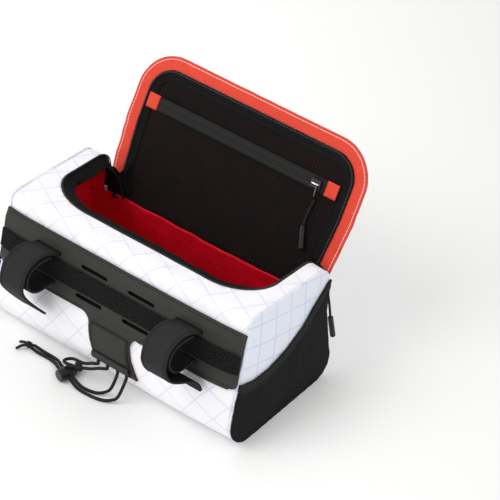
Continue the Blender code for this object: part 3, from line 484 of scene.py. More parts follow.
cords = {
    "diameter": 0.0028,
    "outer": (
        (-0.0772, -0.0997, 0.0036), (-0.0725, -0.0995, 0.0024), (-0.0655, -0.0990, 0.0016),
        (-0.0580, -0.0988, 0.0015), (-0.0505, -0.1002, 0.0022), (-0.0445, -0.1036, 0.0042),
        (-0.0392, -0.1061, 0.0055), (-0.0358, -0.1069, 0.0056), (-0.0300, -0.1083, 0.0056),
        (-0.0266, -0.1091, 0.0055), (-0.0215, -0.1101, 0.0038),
        (-0.0160, -0.1110, 0.0020), (-0.0100, -0.1113, 0.0015), (-0.0035, -0.1110, 0.0015),
        (0.0040, -0.1102, 0.0015), (0.0110, -0.1083, 0.0018), (0.0170, -0.1052, 0.0034),
        (0.0212, -0.1015, 0.0070),
    ),
    "inner": (
        (-0.0770, -0.0963, 0.0040), (-0.0720, -0.0958, 0.0028), (-0.0650, -0.0953, 0.0017),
        (-0.0580, -0.0951, 0.0015), (-0.0505, -0.0963, 0.0022), (-0.0445, -0.0998, 0.0042),
        (-0.0385, -0.1029, 0.0055), (-0.0351, -0.1037, 0.0056), (-0.0292, -0.1051, 0.0056),
        (-0.0258, -0.1059, 0.0055), (-0.0210, -0.1067, 0.0037),
        (-0.0160, -0.1072, 0.0019), (-0.0105, -0.1073, 0.0015), (-0.0045, -0.1065, 0.0015),
        (0.0015, -0.1048, 0.0020), (0.0070, -0.1020, 0.0042), (0.0112, -0.0990, 0.0085),
    ),
    "loop": (
        (-0.0120, -0.0962, 0.0212), (-0.0200, -0.0965, 0.0168), (-0.0280, -0.0952, 0.0140),
        (-0.0345, -0.0948, 0.0125), (-0.0388, -0.0968, 0.0112), (-0.0396, -0.1002, 0.0114),
        (-0.0360, -0.1028, 0.0130), (-0.0305, -0.1030, 0.0137), (-0.0250, -0.1016, 0.0137),
        (-0.0180, -0.1001, 0.0152), (-0.0100, -0.0990, 0.0182), (-0.0025, -0.0978, 0.0222),
    ),
    "atTab": (-0.0055, 0.0045, 0.0155, 0.0250),
    "tunnel": (0.0848, 0.0048),  # the tunnel's mouth: down from the band's top edge, and out from the skin
    "mainPull": (
        (0.1148, 0.0478, 0.0873), (0.1168, 0.0483, 0.0848), (0.1192, 0.0487, 0.0800), (0.1211, 0.0486, 0.0720),
        (0.1225, 0.0485, 0.0640), (0.1234, 0.0484, 0.0570), (0.1241, 0.0483, 0.0510),
    ),
    "pullDiameter": 0.0022,
    "knot": (-0.0815, -0.0985, 0.0040),
    "tails": ((-0.0885, -0.1070, 0.0017), (-0.0915, -0.0985, 0.0017)),
    "knotCord": 0.0024,
}


def addCord(name, points, diameter, finish, step=0.002):
    curve = bpy.data.curves.new(name, "CURVE")
    curve.dimensions = "3D"
    curve.bevel_depth = diameter / 2
    curve.bevel_resolution = 3
    curve.use_fill_caps = True
    route = smoothRoute(points, step)
    line = curve.splines.new("POLY")
    line.points.add(len(route) - 1)
    for point, place in zip(line.points, route):
        point.co = (*place, 1)
    line.use_smooth = True
    curve.materials.append(finishes[finish])
    obj = bpy.data.objects.new(name, curve)
    bpy.context.scene.collection.objects.link(obj)
    return obj, routeLength(route)


def tunnelMouth(x):
    down, out = cords["tunnel"]
    face, below = skin(x, bandAt + down, -out), skin(x, bandAt + down + cords["diameter"], -out)
    along = (below - face).normalized()
    return [face + along * 0.0003, face + along * 1.5 * cords["diameter"]]


def addKnot():
    # An overhand knot pulled tight round both strands, with their two cut ends
    middle = Vector(cords["knot"])
    curve = bpy.data.curves.new("cordKnot", "CURVE")
    curve.dimensions = "3D"
    curve.bevel_depth = cords["knotCord"] / 2
    curve.bevel_resolution = 3
    curve.use_fill_caps = True
    turns = [math.tau * i / 54 for i in range(54)]
    knot = [middle + Vector(((1.75 + 0.8 * math.cos(3 * t)) * math.cos(2 * t),
                             (1.75 + 0.8 * math.cos(3 * t)) * math.sin(2 * t), 0.9 * math.sin(3 * t))) * 0.001
            for t in turns]
    ends = [smoothRoute([middle, middle.lerp(Vector(tail), 0.5) + Vector((0, 0, 0.0012)), tail], 0.001)
            for tail in cords["tails"]]
    arriving = [[middle, Vector(cords[word][0])] for word in ("outer", "inner")]
    for route in (knot, *ends, *arriving):
        line = curve.splines.new("POLY")
        line.points.add(len(route) - 1)
        for point, place in zip(line.points, route):
            point.co = (*place, 1)
        line.use_cyclic_u = route is knot
        line.use_smooth = True
    curve.materials.append(finishes["braidedCord"])
    obj = bpy.data.objects.new("cordKnot", curve)
    bpy.context.scene.collection.objects.link(obj)
    return wear(obj, ["cord_knot"])


def addCords():
    ends = [tunnelMouth(x) for x in cords["atTab"]]
    knot = addKnot()
    lock = [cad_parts[name] for name in ("cord_lock_body",)]
    pull = [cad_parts["main_pull_grip"]]
    wide, thin = cords["diameter"], cords["pullDiameter"]
    routes = (
        ("shockCordOuter", [*cords["outer"], *ends[3][::-1]], "shock_cord_outer", ends[3][0], wide, "knot", [knot]),
        ("shockCordInner", [*cords["inner"], *ends[2][::-1]], "shock_cord_inner", ends[2][0], wide, "knot", lock),
        ("lockLoop", [*ends[0], *cords["loop"], *ends[1][::-1]], "lock_loop", ends[0][0], wide, "object", []),
        ("mainPullCord", cords["mainPull"], "main_pull_cord", cords["mainPull"][0], thin, "fitting", pull),
    )
    for name, points, node, start, diameter, farEnd, carried in routes:
        obj, length = addCord(name, points, diameter, "braidedCord")
        wear(obj, [node])
        tuple(start)
        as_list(carried)
        print(name, round(length, 4))


addCords()
print("cords laid")


# Body: the white wrap, its ends, the red lining, and the black facing round the mouth

mouth = {
    "half": 0.113,
    "cornerAcross": 0.050,
    "cornerAlong": 0.034,
    "under": 0.003,
    "liningUnder": 0.001,
    "facing": (0.0090, 0.0125),  # at the sides, along the front
    "drop": (0.0080, 0.0045),
    "gusset": 0.0145,  # how much wider the facing is at the hinge
    "gussetAt": 0.042,
    "coil": 0.0024,
}


def mouthPath(grow=0.0, start=0.0, turns=24):
    wide, rim = mouth["half"] + grow, rimAt + grow
    across, along = mouth["cornerAcross"], mouth["cornerAlong"]
    legs = 16
    left = [(-wide, start + (rim - along - start) * i / legs) for i in range(legs)]
    for i in range(turns + 1):
        turn = math.pi / 2 * i / turns
        left.append((-wide + across * (1 - math.cos(turn)), rim - along * (1 - math.sin(turn))))
    inner = left[-1][0]
    middle = [(inner * (1 - 2 * i / 24), rim) for i in range(1, 24)]
    return left + middle + [(-x, s) for x, s in left[::-1]]


def wrapPlace(depth):
    return lambda x, y: softSkin(x, -y, depth)


def addWrap():
    edge = [(x, -s) for x, s in mouthPath()]
    outline = [(-half, 0), *edge, (half, 0), (half, -cloth), (-half, -cloth)]
    outline = [p for i, p in enumerate(outline) if i == 0 or (Vector(p) - Vector(outline[i - 1])).length > 1e-6]
    wear(layCloth("whiteWrap", [outline[::-1]], 0.004, wrapPlace(0), bag["wall"], "whiteRipstop"),
         ["main_panel"])


def rimOfEnd(depth=0.0):
    return [skin(half, s, depth).yz for s in sectionAt[:-1]]


endRim = rimOfEnd()
endMiddle = sum(endRim, Vector((0, 0))) / len(endRim)


def endShare(place):
    # 0 in the middle of an end, 1 at its rim
    ray = place - endMiddle
    if ray.length < 1e-9:
        return 0.0
    for a, b in zip(endRim, endRim[1:] + endRim[:1]):
        side = b - a
        bottom = ray.cross(side)
        if abs(bottom) < 1e-12:
            continue
        reach = (a - endMiddle).cross(side) / bottom
        along = (a - endMiddle).cross(ray) / bottom
        if reach > 0 and -1e-6 <= along <= 1 + 1e-6:
            return 1 / reach
    return 1.0


def endPlace(side, offset, pucker=0.0):
    def place(u, v):
        share = min(endShare(Vector((side * u, v))), 1)
        rise = bag["dome"] * (1 - share ** 2.2)
        around = math.atan2(v - endMiddle.y, side * u - endMiddle.x)
        rise += pucker * math.sin(around * 46 + 3 * math.sin(around * 7)) * share ** 6
        loose = noise.noise(Vector((u * 30, v * 26, side * 5))) + 0.35 * noise.noise(Vector((u * 90, v * 60, side)))
        rise -= 0.0013 * (0.4 + loose) * (1 - share ** 6)
        return Vector((side * (half + offset + rise), side * u, v))
    return place


def addEnds():
    for side, word, label in ((-1, "left", "Left"), (1, "right", "Right")):
        outline = [(side * p.x, p.y) for p in endRim]
        offset = bag["wall"] - 0.0002
        # The ends' white cloth carries painted shade: darker and bluer than the front's
        wear(layCloth("end" + label, [outline], 0.004, endPlace(side, offset, 0.00025), bag["wall"], "whiteEndsPaintedShade"),
             ["end_panel_" + word])


def addLining():
    edge = [(x, -s) for x, s in mouthPath(mouth["liningUnder"])]
    outline = [(-half, 0), *edge, (half, 0), (half, -cloth), (-half, -cloth)]

    def place(x, y):
        s = -y
        level = skin(x, s).z / bag["height"]
        loose = noise.noise(Vector((x * 20, s * 26, 11.0))) + 0.5 * noise.noise(Vector((x * 60, s * 48, 5.0)))
        return softSkin(x, s, 0.0022 + 0.0026 * (1 + loose) * min(max(2 - level * 2, 0), 1))

    main = layCloth("liningWrap", [outline[::-1]], 0.004, place, 0.0008, "redLining")
    wear(main, ["lining"])
    for side, label in ((-1, "Left"), (1, "Right")):
        rim = [(side * p.x, p.y) for p in rimOfEnd(0.0026)]
        wear(layCloth("liningEnd" + label, [rim], 0.006, endPlace(side, -0.0016), 0.0008, "redLining"))


def mouthPoint(path, lengths, t):
    i = min(max(bisect_right(lengths, t) - 1, 0), len(path) - 2)
    share = (t - lengths[i]) / (lengths[i + 1] - lengths[i])
    along = (path[i + 1] - path[i]).normalized()
    before = (path[i] - path[max(i - 1, 0)]).normalized() if i else along
    after = (path[min(i + 2, len(path) - 1)] - path[i + 1]).normalized() if i + 2 < len(path) else along
    a, b = (along + before).normalized(), (along + after).normalized()
    along = a.lerp(b, share).normalized()
    return path[i].lerp(path[i + 1], share), along, Vector((along.y, -along.x))


def mouthRun(start):
    path = [Vector(p) for p in mouthPath(0.0, start)]
    path = [p for i, p in enumerate(path) if i == 0 or (p - path[i - 1]).length > 1e-6]
    lengths = [0.0]
    for a, b in zip(path, path[1:]):
        lengths.append(lengths[-1] + (b - a).length)
    return path, lengths


def addFacing():
    path, lengths = mouthRun(0.004)
    total = lengths[-1]

    def frontShare(into):
        return min(abs(into.y), 1)

    def reach(t):
        # The facing widens towards the hinge into a folded gusset
        share = min(max(1 - min(t, total - t) / mouth["gussetAt"], 0), 1)
        narrow, wide = mouth["facing"]
        return narrow + (wide - narrow) * frontShare(mouthPoint(path, lengths, t)[2]) + mouth["gusset"] * fold(share)

    def fold(share):
        return share * share * (3 - 2 * share)

    def place(t, b):
        # t runs along the mouth, b into it
        where, along, into = mouthPoint(path, lengths, t)
        share = max(b, 0) / reach(t)
        wave = noise.noise(Vector((t * 60, b * 60, 2.0))) * 0.0012 * share
        crease = 0.0022 * math.sin(b * 700) * share * fold(min(max(1 - min(t, total - t) / mouth["gussetAt"], 0), 1))
        spot = where + into * b
        steep, gentle = mouth["drop"]
        drop = steep + (gentle - steep) * frontShare(into)
        sunk = bag["wall"] + 0.0003 + drop * share ** 1.25 + max(wave, -0.0006) + max(crease, 0)
        return softSkin(spot.x, spot.y, sunk)

    steps = 120
    edge = [(total * i / steps, reach(total * i / steps)) for i in range(steps, -1, -1)]
    facing = layCloth("mouthFacing", [[(0, -mouth["under"]), (total, -mouth["under"]), *edge]], 0.003, place, 0.001,
                      "blackTape")
    facing.modifiers["thickness"].offset = 1
    wear(facing, ["rim_tape"])
    rows = [[place(total * i / 300, b) - Vector((0, 0, -0.0004)) for i in range(301)] for b in (0.0042,)]
    addStitches("facingStitches", rows, "blackThread")


def addCoil(name, places, thread, turnLength, finish, nodes):
    # places is a list of (centre, across, up) along the zip: a flattened spring with a cord through it
    curve = bpy.data.curves.new(name, "CURVE")
    curve.dimensions = "3D"
    curve.bevel_depth = thread / 2
    curve.bevel_resolution = 1
    curve.use_fill_caps = True
    total = sum((b[0] - a[0]).length for a, b in zip(places, places[1:]))
    line = curve.splines.new("POLY")
    points, done = [], 0.0
    perTurn = 8
    count = int(total / turnLength * perTurn)
    lengths = [0.0]
    for a, b in zip(places, places[1:]):
        lengths.append(lengths[-1] + (b[0] - a[0]).length)
    for k in range(count + 1):
        t = total * k / count
        i = min(max(bisect_right(lengths, t) - 1, 0), len(places) - 2)
        share = (t - lengths[i]) / (lengths[i + 1] - lengths[i])
        centre = places[i][0].lerp(places[i + 1][0], share)
        across = places[i][1].lerp(places[i + 1][1], share).normalized()
        up = places[i][2].lerp(places[i + 1][2], share).normalized()
        angle = math.tau * k / perTurn
        wide, high = mouth["coil"] / 2 - thread / 2, mouth["coil"] * 0.42 - thread / 2
        points.append(centre + across * wide * math.cos(angle) + up * high * math.sin(angle))
    line.points.add(len(points) - 1)
    for point, place in zip(line.points, points):
        point.co = (*place, 1)
    curve.materials.append(finishes[finish])
    obj = bpy.data.objects.new(name, curve)
    bpy.context.scene.collection.objects.link(obj)
    return wear(obj, nodes)


def addMouthZip():
    path, lengths = mouthRun(0.009)
    places = []
    steps = 200
    for k in range(steps + 1):
        where, along, into = mouthPoint(path, lengths, lengths[-1] * k / steps)
        middle = where + into * (mouth["coil"] / 2 + 0.0003)
        centre = softSkin(middle.x, middle.y, 0.0003)
        up = (softSkin(middle.x, middle.y, -0.001) - centre).normalized()
        nearby = middle + into * 0.001
        across = (softSkin(nearby.x, nearby.y, 0.0003) - centre).normalized()
        places.append((centre, across, up))
    addCoil("mouthCoil", places, 0.0008, 0.0019, "zipCoil", ["rim_coil"])


addWrap()
addEnds()
addLining()
addFacing()
addMouthZip()
print("body sewn")


# Stretch pockets on the ends

pocket = {
    "hemCurve": (
        (-0.10, 0.66), (0.03, 0.59), (0.11, 0.52), (0.22, 0.488), (0.36, 0.492),
        (0.52, 0.535), (0.68, 0.615), (0.84, 0.72), (1.10, 0.90),
    ),
    "hem": 0.009,
    "wall": 0.001,
    "hemWall": 0.0016,
    "hemStitch": 0.0012,  # from the hem's lower edge
}
endFront, endBack = min(p.x for p in endRim), max(p.x for p in endRim)


def hemHeight(y):
    share = (y - endFront) / (endBack - endFront)
    for (a, za), (b, zb) in zip(pocket["hemCurve"], pocket["hemCurve"][1:]):
        if share <= b:
            break
    t = (share - a) / (b - a)
    return bag["height"] * (za + (zb - za) * t)


def underLine(drop):
    # The part of the end's outline that lies under the hem's line, closed along that line
    fine = []
    for a, b in zip(endRim, endRim[1:] + endRim[:1]):
        count = max(1, round((b - a).length / 0.001))
        fine += [a.lerp(b, i / count) for i in range(count)]
    below = [p.y < hemHeight(p.x) - drop for p in fine]
    start = next(i for i in range(len(fine)) if below[i] and not below[i - 1])
    run = []
    for i in range(len(fine)):
        k = (start + i) % len(fine)
        if not below[k]:
            break
        run.append(fine[k])
    back, front = run[-1].x, run[0].x
    line = [Vector((back + (front - back) * i / 48, 0)) for i in range(1, 48)]
    line = [Vector((p.x, hemHeight(p.x) - drop)) for p in line]
    return run, line


def addPockets():
    low, lowLine = underLine(pocket["hem"] + 0.0003)
    high, highLine = underLine(0)
    base, baseLine = underLine(pocket["hem"])
    offset = 0.0006 + bag["wall"]
    # between the two lines: the upper line forward, the rim down, the lower line back, and the rim up
    hemOutline = highLine + [p for p in high if p.x < -0.02 and p.y > hemHeight(p.x) - pocket["hem"]]
    hemOutline += baseLine[::-1] + [p for p in high if p.x > 0 and p.y > hemHeight(p.x) - pocket["hem"]]
    for side, word, label in ((-1, "left", "Left"), (1, "right", "Right")):
        wear(layCloth("pocket" + label, [[(side * p.x, p.y) for p in low + lowLine]], 0.003,
                      endPlace(side, offset + pocket["wall"], 0.00012), pocket["wall"], "pocketKnit"),
             ["mesh_pocket_" + word])
        wear(layCloth("pocketHem" + label, [[(side * p.x, p.y) for p in hemOutline]], 0.003,
                      endPlace(side, offset + pocket["hemWall"], 0.0001), pocket["hemWall"], "hemKnit"),
             ["pocket_hem_" + word])
        row = underLine(pocket["hem"] - pocket["hemStitch"])[1]
        place = endPlace(side, offset + pocket["hemWall"] + 0.0001)
        addStitches("hemStitches" + label, [[place(side * p.x, p.y) for p in row]], "blackThread")


addPockets()
print("end pockets on")


# Lid, folded back: its cloth, the orange facing, the zip and the mesh pocket

lid = {
    "lean": 32.9,
    "hinge": (0.045 - 0.0016, 0.0703),
    "length": 0.1285,
    "halves": ((0.111, 0), (0.117, 0.017), (0.121, 0.06425)),
    "corner": 0.036,
    "flange": 0.0115,
    "tape": 0.0095,
    "strip": (0.0785, 0.0905),
    "stripEnds": (-0.094, 0.087),
    "slider": (0.0775, 0.0845),
    "sliderTop": 0.0061,
    "bridge": ((-0.0036, -0.0008), (-0.0022, 0.0014), (0.0022, 0.0014), (0.0036, -0.0008)),  # across, above the top
    "lap": 0.005,  # the mesh and the zip tape run this far down past the hinge, over the lining
    "topstitch": 0.0022,
    "wave": 0.0009,
}


def lidWave(x, v):
    # The overhang outside the zip waves a little
    aside, above = max(abs(x) - 0.106, 0) / 0.012, max(v - 0.113, 0) / 0.012
    outside = min(aside + above, 1) ** 1.5 * min(max(v / 0.02, 0), 1)
    alongTop = above / max(aside + above, 1e-6)
    puckers = noise.noise(Vector((x * (30 + 90 * alongTop), v * (120 - 90 * alongTop), 1.7)))
    return outside * (lid["wave"] * puckers + 0.0008 * noise.noise(Vector((x * 26, v * 26, 6.1))))


def lidPoint(x, v, out):
    lean = math.radians(lid["lean"])
    sin, cos = math.sin(lean), math.cos(lean)
    out += lidWave(x, v)
    y, z = lid["hinge"]
    return Vector((x, y + v * sin - out * cos, z + (bag["wall"] + out) * sin + v * cos))


def lidOutline(inset, low=0.0):
    right = [(wide - inset, low if v == 0 else v, 0) for wide, v in lid["halves"]]
    right.append((lid["halves"][-1][0] - inset, lid["length"] - inset, lid["corner"] - inset))
    loop = right + [(-x, v, r) for x, v, r in right[::-1]]
    return [tuple(place) for place, _, _ in roundedCorners(loop, 6)]


def layOnLid(name, outlines, cell, low, wall, finish):
    return layCloth(name, outlines, cell, lambda x, v: lidPoint(x, v, low + wall), wall, finish)


def addLid():
    gap = 0.0003
    wear(layOnLid("lidCloth", [lidOutline(0)], 0.005, -bag["wall"], bag["wall"], "whiteRipstop"),
         ["lid_panel"])
    inner = lidOutline(lid["flange"])
    flange = layCloth("lidFacing", [lidOutline(-0.0004) + inner[::-1]], 0.0025,
                      lambda x, v: lidPoint(x, v, gap + 0.0008), 0.0008, "orangeCloth", "darkRedEdge")
    flange.modifiers["thickness"].material_offset_rim = 1
    wear(flange, ["lid_flange"])
    row = [lidPoint(*place, gap + 0.0009) for place in stepped(lidOutline(lid["topstitch"], 0.002), 0.001)]
    addStitches("flangeStitches", [row], "whiteThread", 0.0026, 0.0006, 0.0006)
    tapeInner = lidOutline(lid["flange"] + lid["tape"], -lid["lap"])
    tapeOuter = lidOutline(lid["flange"] + gap, -lid["lap"])
    wear(layOnLid("lidTape", [tapeOuter + tapeInner[::-1]], 0.004, 0.0009, 0.0006, "blackTape"),
         ["lid_zip_tape"])
    rows = [[lidPoint(*place, 0.0016) for place in stepped(lidOutline(lid["flange"] + inset), 0.001)]
            for inset in (0.0045, lid["tape"] - 0.0030, lid["tape"] - 0.0012)]
    addStitches("tapeStitches", rows, "blackThread")
    mesh = lidOutline(lid["flange"] + lid["tape"] - 0.002, -lid["lap"])
    low, high = lid["strip"]
    upper = [p for p in mesh if p[1] > high]
    lower = [p for p in mesh if p[1] <= high]
    edge, middle = upper[0][0], len(lower) // 2
    join = (low + high) / 2  # the two meshes meet under the zip's strip
    lower = [*lower[:middle], (edge, join), (-edge, join), *lower[middle:]]
    upper = [(edge, join), *upper, (-edge, join)]
    wear(layOnLid("lidMeshLower", [lower], 0.005, gap, 0.0005, "lidMesh"), ["lid_mesh_lower"])
    wear(layOnLid("lidMeshUpper", [upper], 0.005, gap, 0.0005, "lidMesh"), ["lid_mesh_upper"])
    top = gap + 0.001 + gap
    left, right = lid["stripEnds"]
    wear(layOnLid("pocketZipTape", [boxOutline(left + gap, right - gap, low, high)], 0.004, top, 0.001, "strapFabric"),
         ["pocket_zip_tape"])
    rows = [[lidPoint(left + (right - left) * i / 200, v, top + 0.0011) for i in range(201)]
            for v in (low + 0.0012, low + 0.0048, high - 0.0048, high - 0.0012)]
    addStitches("stripStitches", rows, "blackThread")
    for word, label, x in (("left", "Left", left - 0.0115), ("right", "Right", right)):
        patch = boxOutline(x, x + 0.0115, low - 0.0005, high + 0.0005)
        wear(layOnLid("zipTab" + label, [patch], 0.002, top, 0.0016, "orangeCloth"),
             ["zip_tab_" + word])
    path = [Vector(p) for p in lidOutline(lid["flange"] + gap + mouth["coil"] / 2, 0.009)]
    places = []
    for i, place in enumerate(path):
        along = (path[min(i + 1, len(path) - 1)] - path[max(i - 1, 0)]).normalized()
        into = Vector((-along.y, along.x))
        centre = lidPoint(place.x, place.y, 0.0016 + mouth["coil"] / 2)
        across = (lidPoint(place.x + into.x * 0.001, place.y + into.y * 0.001, 0.0016 + mouth["coil"] / 2) - centre)
        up = lidPoint(place.x, place.y, 0.0026 + mouth["coil"] / 2) - centre
        places.append((centre, across.normalized(), up.normalized()))
    x, v = lid["slider"]
    bridge = [lidPoint(x + a, v, lid["sliderTop"] + b) for a, b in lid["bridge"]]
    wear(addCord("sliderBridge", bridge, 0.0018, "brightMetal", 0.0008)[0])
    addCoil("lidCoil", places, 0.0008, 0.0019, "zipCoil", ["lid_coil"])


gusset = {
    "width": 0.025,
    "height": 0.035,
    "up": (-0.004, 0.034),  # on the mouth's side, from the hinge
    "onLid": (-0.003, 0.031),
    "lidHalf": 0.0985,
    "sag": 0.009,
}


def addGussets():
    # Folded black cloth between the mouth's side and the lid, above the hinge
    for side, label in ((-1, "Left"), (1, "Right")):
        inward = Vector((-0.6 * side, -0.5, -0.6))

        def place(x, y):
            u, v = x / gusset["width"], y / gusset["height"]
            onMouth = skin(side * (mouth["half"] - 0.0002), gusset["up"][0] + v * gusset["up"][1], bag["wall"] + 0.0006)
            onLid = lidPoint(side * gusset["lidHalf"], gusset["onLid"][0] + v * gusset["onLid"][1], 0.0022)
            sag = gusset["sag"] * math.sin(math.pi * u) * (0.4 + 0.6 * v) + 0.0012 * math.sin(math.tau * 3 * u) * v
            return onMouth.lerp(onLid, u) + inward * sag
        outline = boxOutline(0, gusset["width"], 0, gusset["height"])
        wear(layCloth("gusset" + label, [outline], 0.0012, place, 0.0006, "blackTape"))


addLid()
addGussets()
print("lid hung")


# Handlebar face: slotted band with its tab, the loop strip and the two straps

band = {
    "height": 0.051,
    "wall": 0.0018,
    "lift": 0.0024,
    "ramp": 0.009,
    "corner": 0.006,
    "pitch": 0.0508,
    "slot": (0.0282, 0.0036),
    "rows": (0.014, 0.040),
    "strip": 0.0165,
    "stripWall": 0.0011,
    "tabHalf": 0.022,
    "tabDrop": 0.037,
    "tabSkew": 0.010,
    "fillet": 0.010,
    "margin": 0.0022,
    "tunnel": 0.006,
    "tunnelWall": 0.0040,
    "layer": 0.0005,
    "overSeam": 0.0012,  # the band and the loop strip reach this far past the end seams
    "stitchInset": 0.0022,
}


def bandRise(down):
    share = min(max(min(down, band["height"] - down) / band["ramp"], 0), 1)
    return band["lift"] * share * share * (3 - 2 * share)


def layOnFront(name, outlines, cell, low, wall, finish, rise=None):
    def place(x, y):
        lift = rise(-y) if rise else 0
        return softSkin(x, bandAt - y, -(low + wall + lift))
    return layCloth(name, outlines, cell, place, wall, finish)


def bandOutline():
    wide, low, r, f = half + band["overSeam"], band["height"], band["corner"], band["fillet"]
    tabHalf, skew, drop = band["tabHalf"], band["tabSkew"], band["tabDrop"]
    right = [(wide, 0), *arcPoints((wide - r, low - r), r, 0, 90), *arcPoints((tabHalf + f, low + f), f, -90, -180)]
    left = [(-x, y) for x, y in right[::-1]]
    foot = low + drop
    tab = [(tabHalf + skew * 0.3, low + drop * 0.6), (tabHalf + skew * 1.2, foot), (-tabHalf + skew, foot),
           (-tabHalf + skew * 0.3, low + drop * 0.6)]
    return [(x, -y) for x, y in right + tab + left]


def slotOutline(x, down):
    reach, r = (band["slot"][0] - band["slot"][1]) / 2, band["slot"][1] / 2
    return [(a, -b) for a, b in arcPoints((x + reach, down), r, -90, 90) + arcPoints((x - reach, down), r, 90, 270)]


def tabPanel(high, low, steps):
    inset = band["tabHalf"] - band["margin"]
    rows = [high + (low - high) * i / steps for i in range(steps + 1)]
    lean = [band["tabSkew"] * min(max((d - band["height"]) / band["tabDrop"], 0), 1) ** 2 for d in rows]
    right = [(inset + a, -d) for a, d in zip(lean, rows)]
    return right + [(-inset + a, -d) for a, d in zip(lean[::-1], rows[::-1])]


def tabLean(down):
    return band["tabSkew"] * min(max((down - band["height"]) / band["tabDrop"], 0), 1) ** 2


def addBandStitches():
    onTop = band["layer"] + band["wall"] + 0.0001
    inset, low, f = band["stitchInset"], band["height"], band["fillet"]
    side, tabSide = half - inset, band["tabHalf"] - band["margin"] - 0.0012

    def across(x0, x1, down):
        return [(x0 + (x1 - x0) * i / 160, down) for i in range(161)]

    middle = sum(band["rows"]) / 2
    stripEdge = band["strip"] / 2 + 0.0012
    rows = [across(-side, side, inset), across(-side, -band["tabHalf"] - f, low - inset),
            across(band["tabHalf"] + f, side, low - inset),
            across(-side, side, middle - stripEdge), across(-side, side, middle + stripEdge)]
    rows = [[softSkin(x, bandAt + d, -(onTop + bandRise(d))) for x, d in row] for row in rows]
    tabTop, tabFoot = low + f / 2, low + band["tabDrop"] - band["tunnel"] - band["margin"]
    onPatch = onTop + band["layer"] + 0.0009
    downs = [tabTop + 0.0012 + (tabFoot - tabTop - 0.0024) * i / 60 for i in range(61)]
    edges = [[(sign * tabSide + tabLean(d), d) for d in downs] for sign in (-1, 1)]
    edges += [[(-tabSide + tabLean(d) + 2 * tabSide * i / 60, d) for i in range(61)] for d in (downs[0], downs[-1])]
    rows += [[softSkin(x, bandAt + d, -onPatch) for x, d in edge] for edge in edges]
    addStitches("bandStitches", rows, "blackThread")


def addBand():
    slots = [slotOutline(band["pitch"] * (i - 1.5), row) for row in band["rows"] for i in range(4)]
    wear(layOnFront("mountBand", [bandOutline(), *slots], 0.004, band["layer"], band["wall"], "bandLaminate",
                    bandRise), ["mount_band"])
    backing = boxOutline(-half + 0.004, half - 0.004, 0.004 - band["height"], -0.004)
    wear(layOnFront("bandBacking", [backing], 0.005, 0.0001, 0.0003, "blackTape"))
    middle = sum(band["rows"]) / 2
    onBand = 2 * band["layer"] + band["wall"]
    wide = half + band["overSeam"]
    strip = boxOutline(-wide, wide, -middle - band["strip"] / 2, -middle + band["strip"] / 2)

    def pile(x, y):
        fuzz = noise.noise(Vector((x * 900, y * 900, 4.0))) * 0.0004
        return softSkin(x, bandAt - y, -(onBand + band["stripWall"] + bandRise(-y) + fuzz))
    wear(layCloth("loopStrip", [strip], 0.0011, pile, band["stripWall"], "loopPile"), ["loop_strip"])
    top = band["height"] + band["fillet"] / 2
    foot = band["height"] + band["tabDrop"] - band["tunnel"] - band["margin"] - 0.0003
    wear(layOnFront("tabPatch", [tabPanel(top, foot, 8)], 0.004, onBand, 0.0009, "bandLaminate"),
         ["tab_patch"])
    middleOfTunnel = foot + 0.0003 + band["tunnel"] / 2

    def rolled(x, y):
        # The tunnel's cloth arches over the cords
        share = min(abs(-y - middleOfTunnel) / (band["tunnel"] / 2), 1)
        return softSkin(x, bandAt - y, -(onBand + 0.0008 + (band["tunnelWall"] - 0.0012) * math.sqrt(1 - share ** 2)))
    wear(layCloth("tabTunnel", [tabPanel(foot + 0.0003, foot + 0.0003 + band["tunnel"], 2)], 0.0008, rolled, 0.0008,
                  "bandLaminate"), ["tab_hem"])
    addBandStitches()


strap = {
    "width": 0.0254,
    "wall": 0.0018,
    "reach": 0.0445,
    "inner": (
        (0.05, 0.29), (0.10, 0.52), (0.28, 0.78), (0.56, 0.875), (0.86, 0.86),
        (1.10, 0.72), (1.19, 0.52), (1.13, 0.34), (1.035, 0.20),
    ),
    "outer": (
        (-0.02, 0.22), (-0.085, 0.42), (-0.06, 0.64), (0.10, 0.835), (0.32, 0.955), (0.58, 0.99),
        (0.92, 0.985), (1.16, 0.915),
    ),
    "hanging": ((1.40, 0.76), (1.66, 0.55), (1.92, 0.32), (2.16, 0.10)),
    "tucked": ((1.375, 0.80), (1.47, 0.62), (1.50, 0.42), (1.53, 0.235), (1.65, 0.11), (1.86, 0.075)),
    "tuckSkew": 0.013,
    "stitchInset": 0.0022,
}


def strapRoute(tail):
    upper, lower = band["rows"]
    span = lower - upper
    behind = (band["layer"] + bandRise(lower)) / 2
    bend = strap["wall"]
    reach = strap["reach"]

    def soft(shape):
        points = [(upper + a * span, b * reach, 0) for a, b in shape]
        return [(p.x, p.y) for p in smoothRoute(points, 2 * strap["wall"])]
    passage = [(lower, behind + bend), (lower - bend * 0.3, behind + bend * 0.3), (lower - bend, behind),
               (upper + bend, behind), (upper + bend * 0.3, behind + bend * 0.3), (upper, behind + bend)]
    return soft(strap["inner"]) + passage + soft(strap["outer"] + tail)


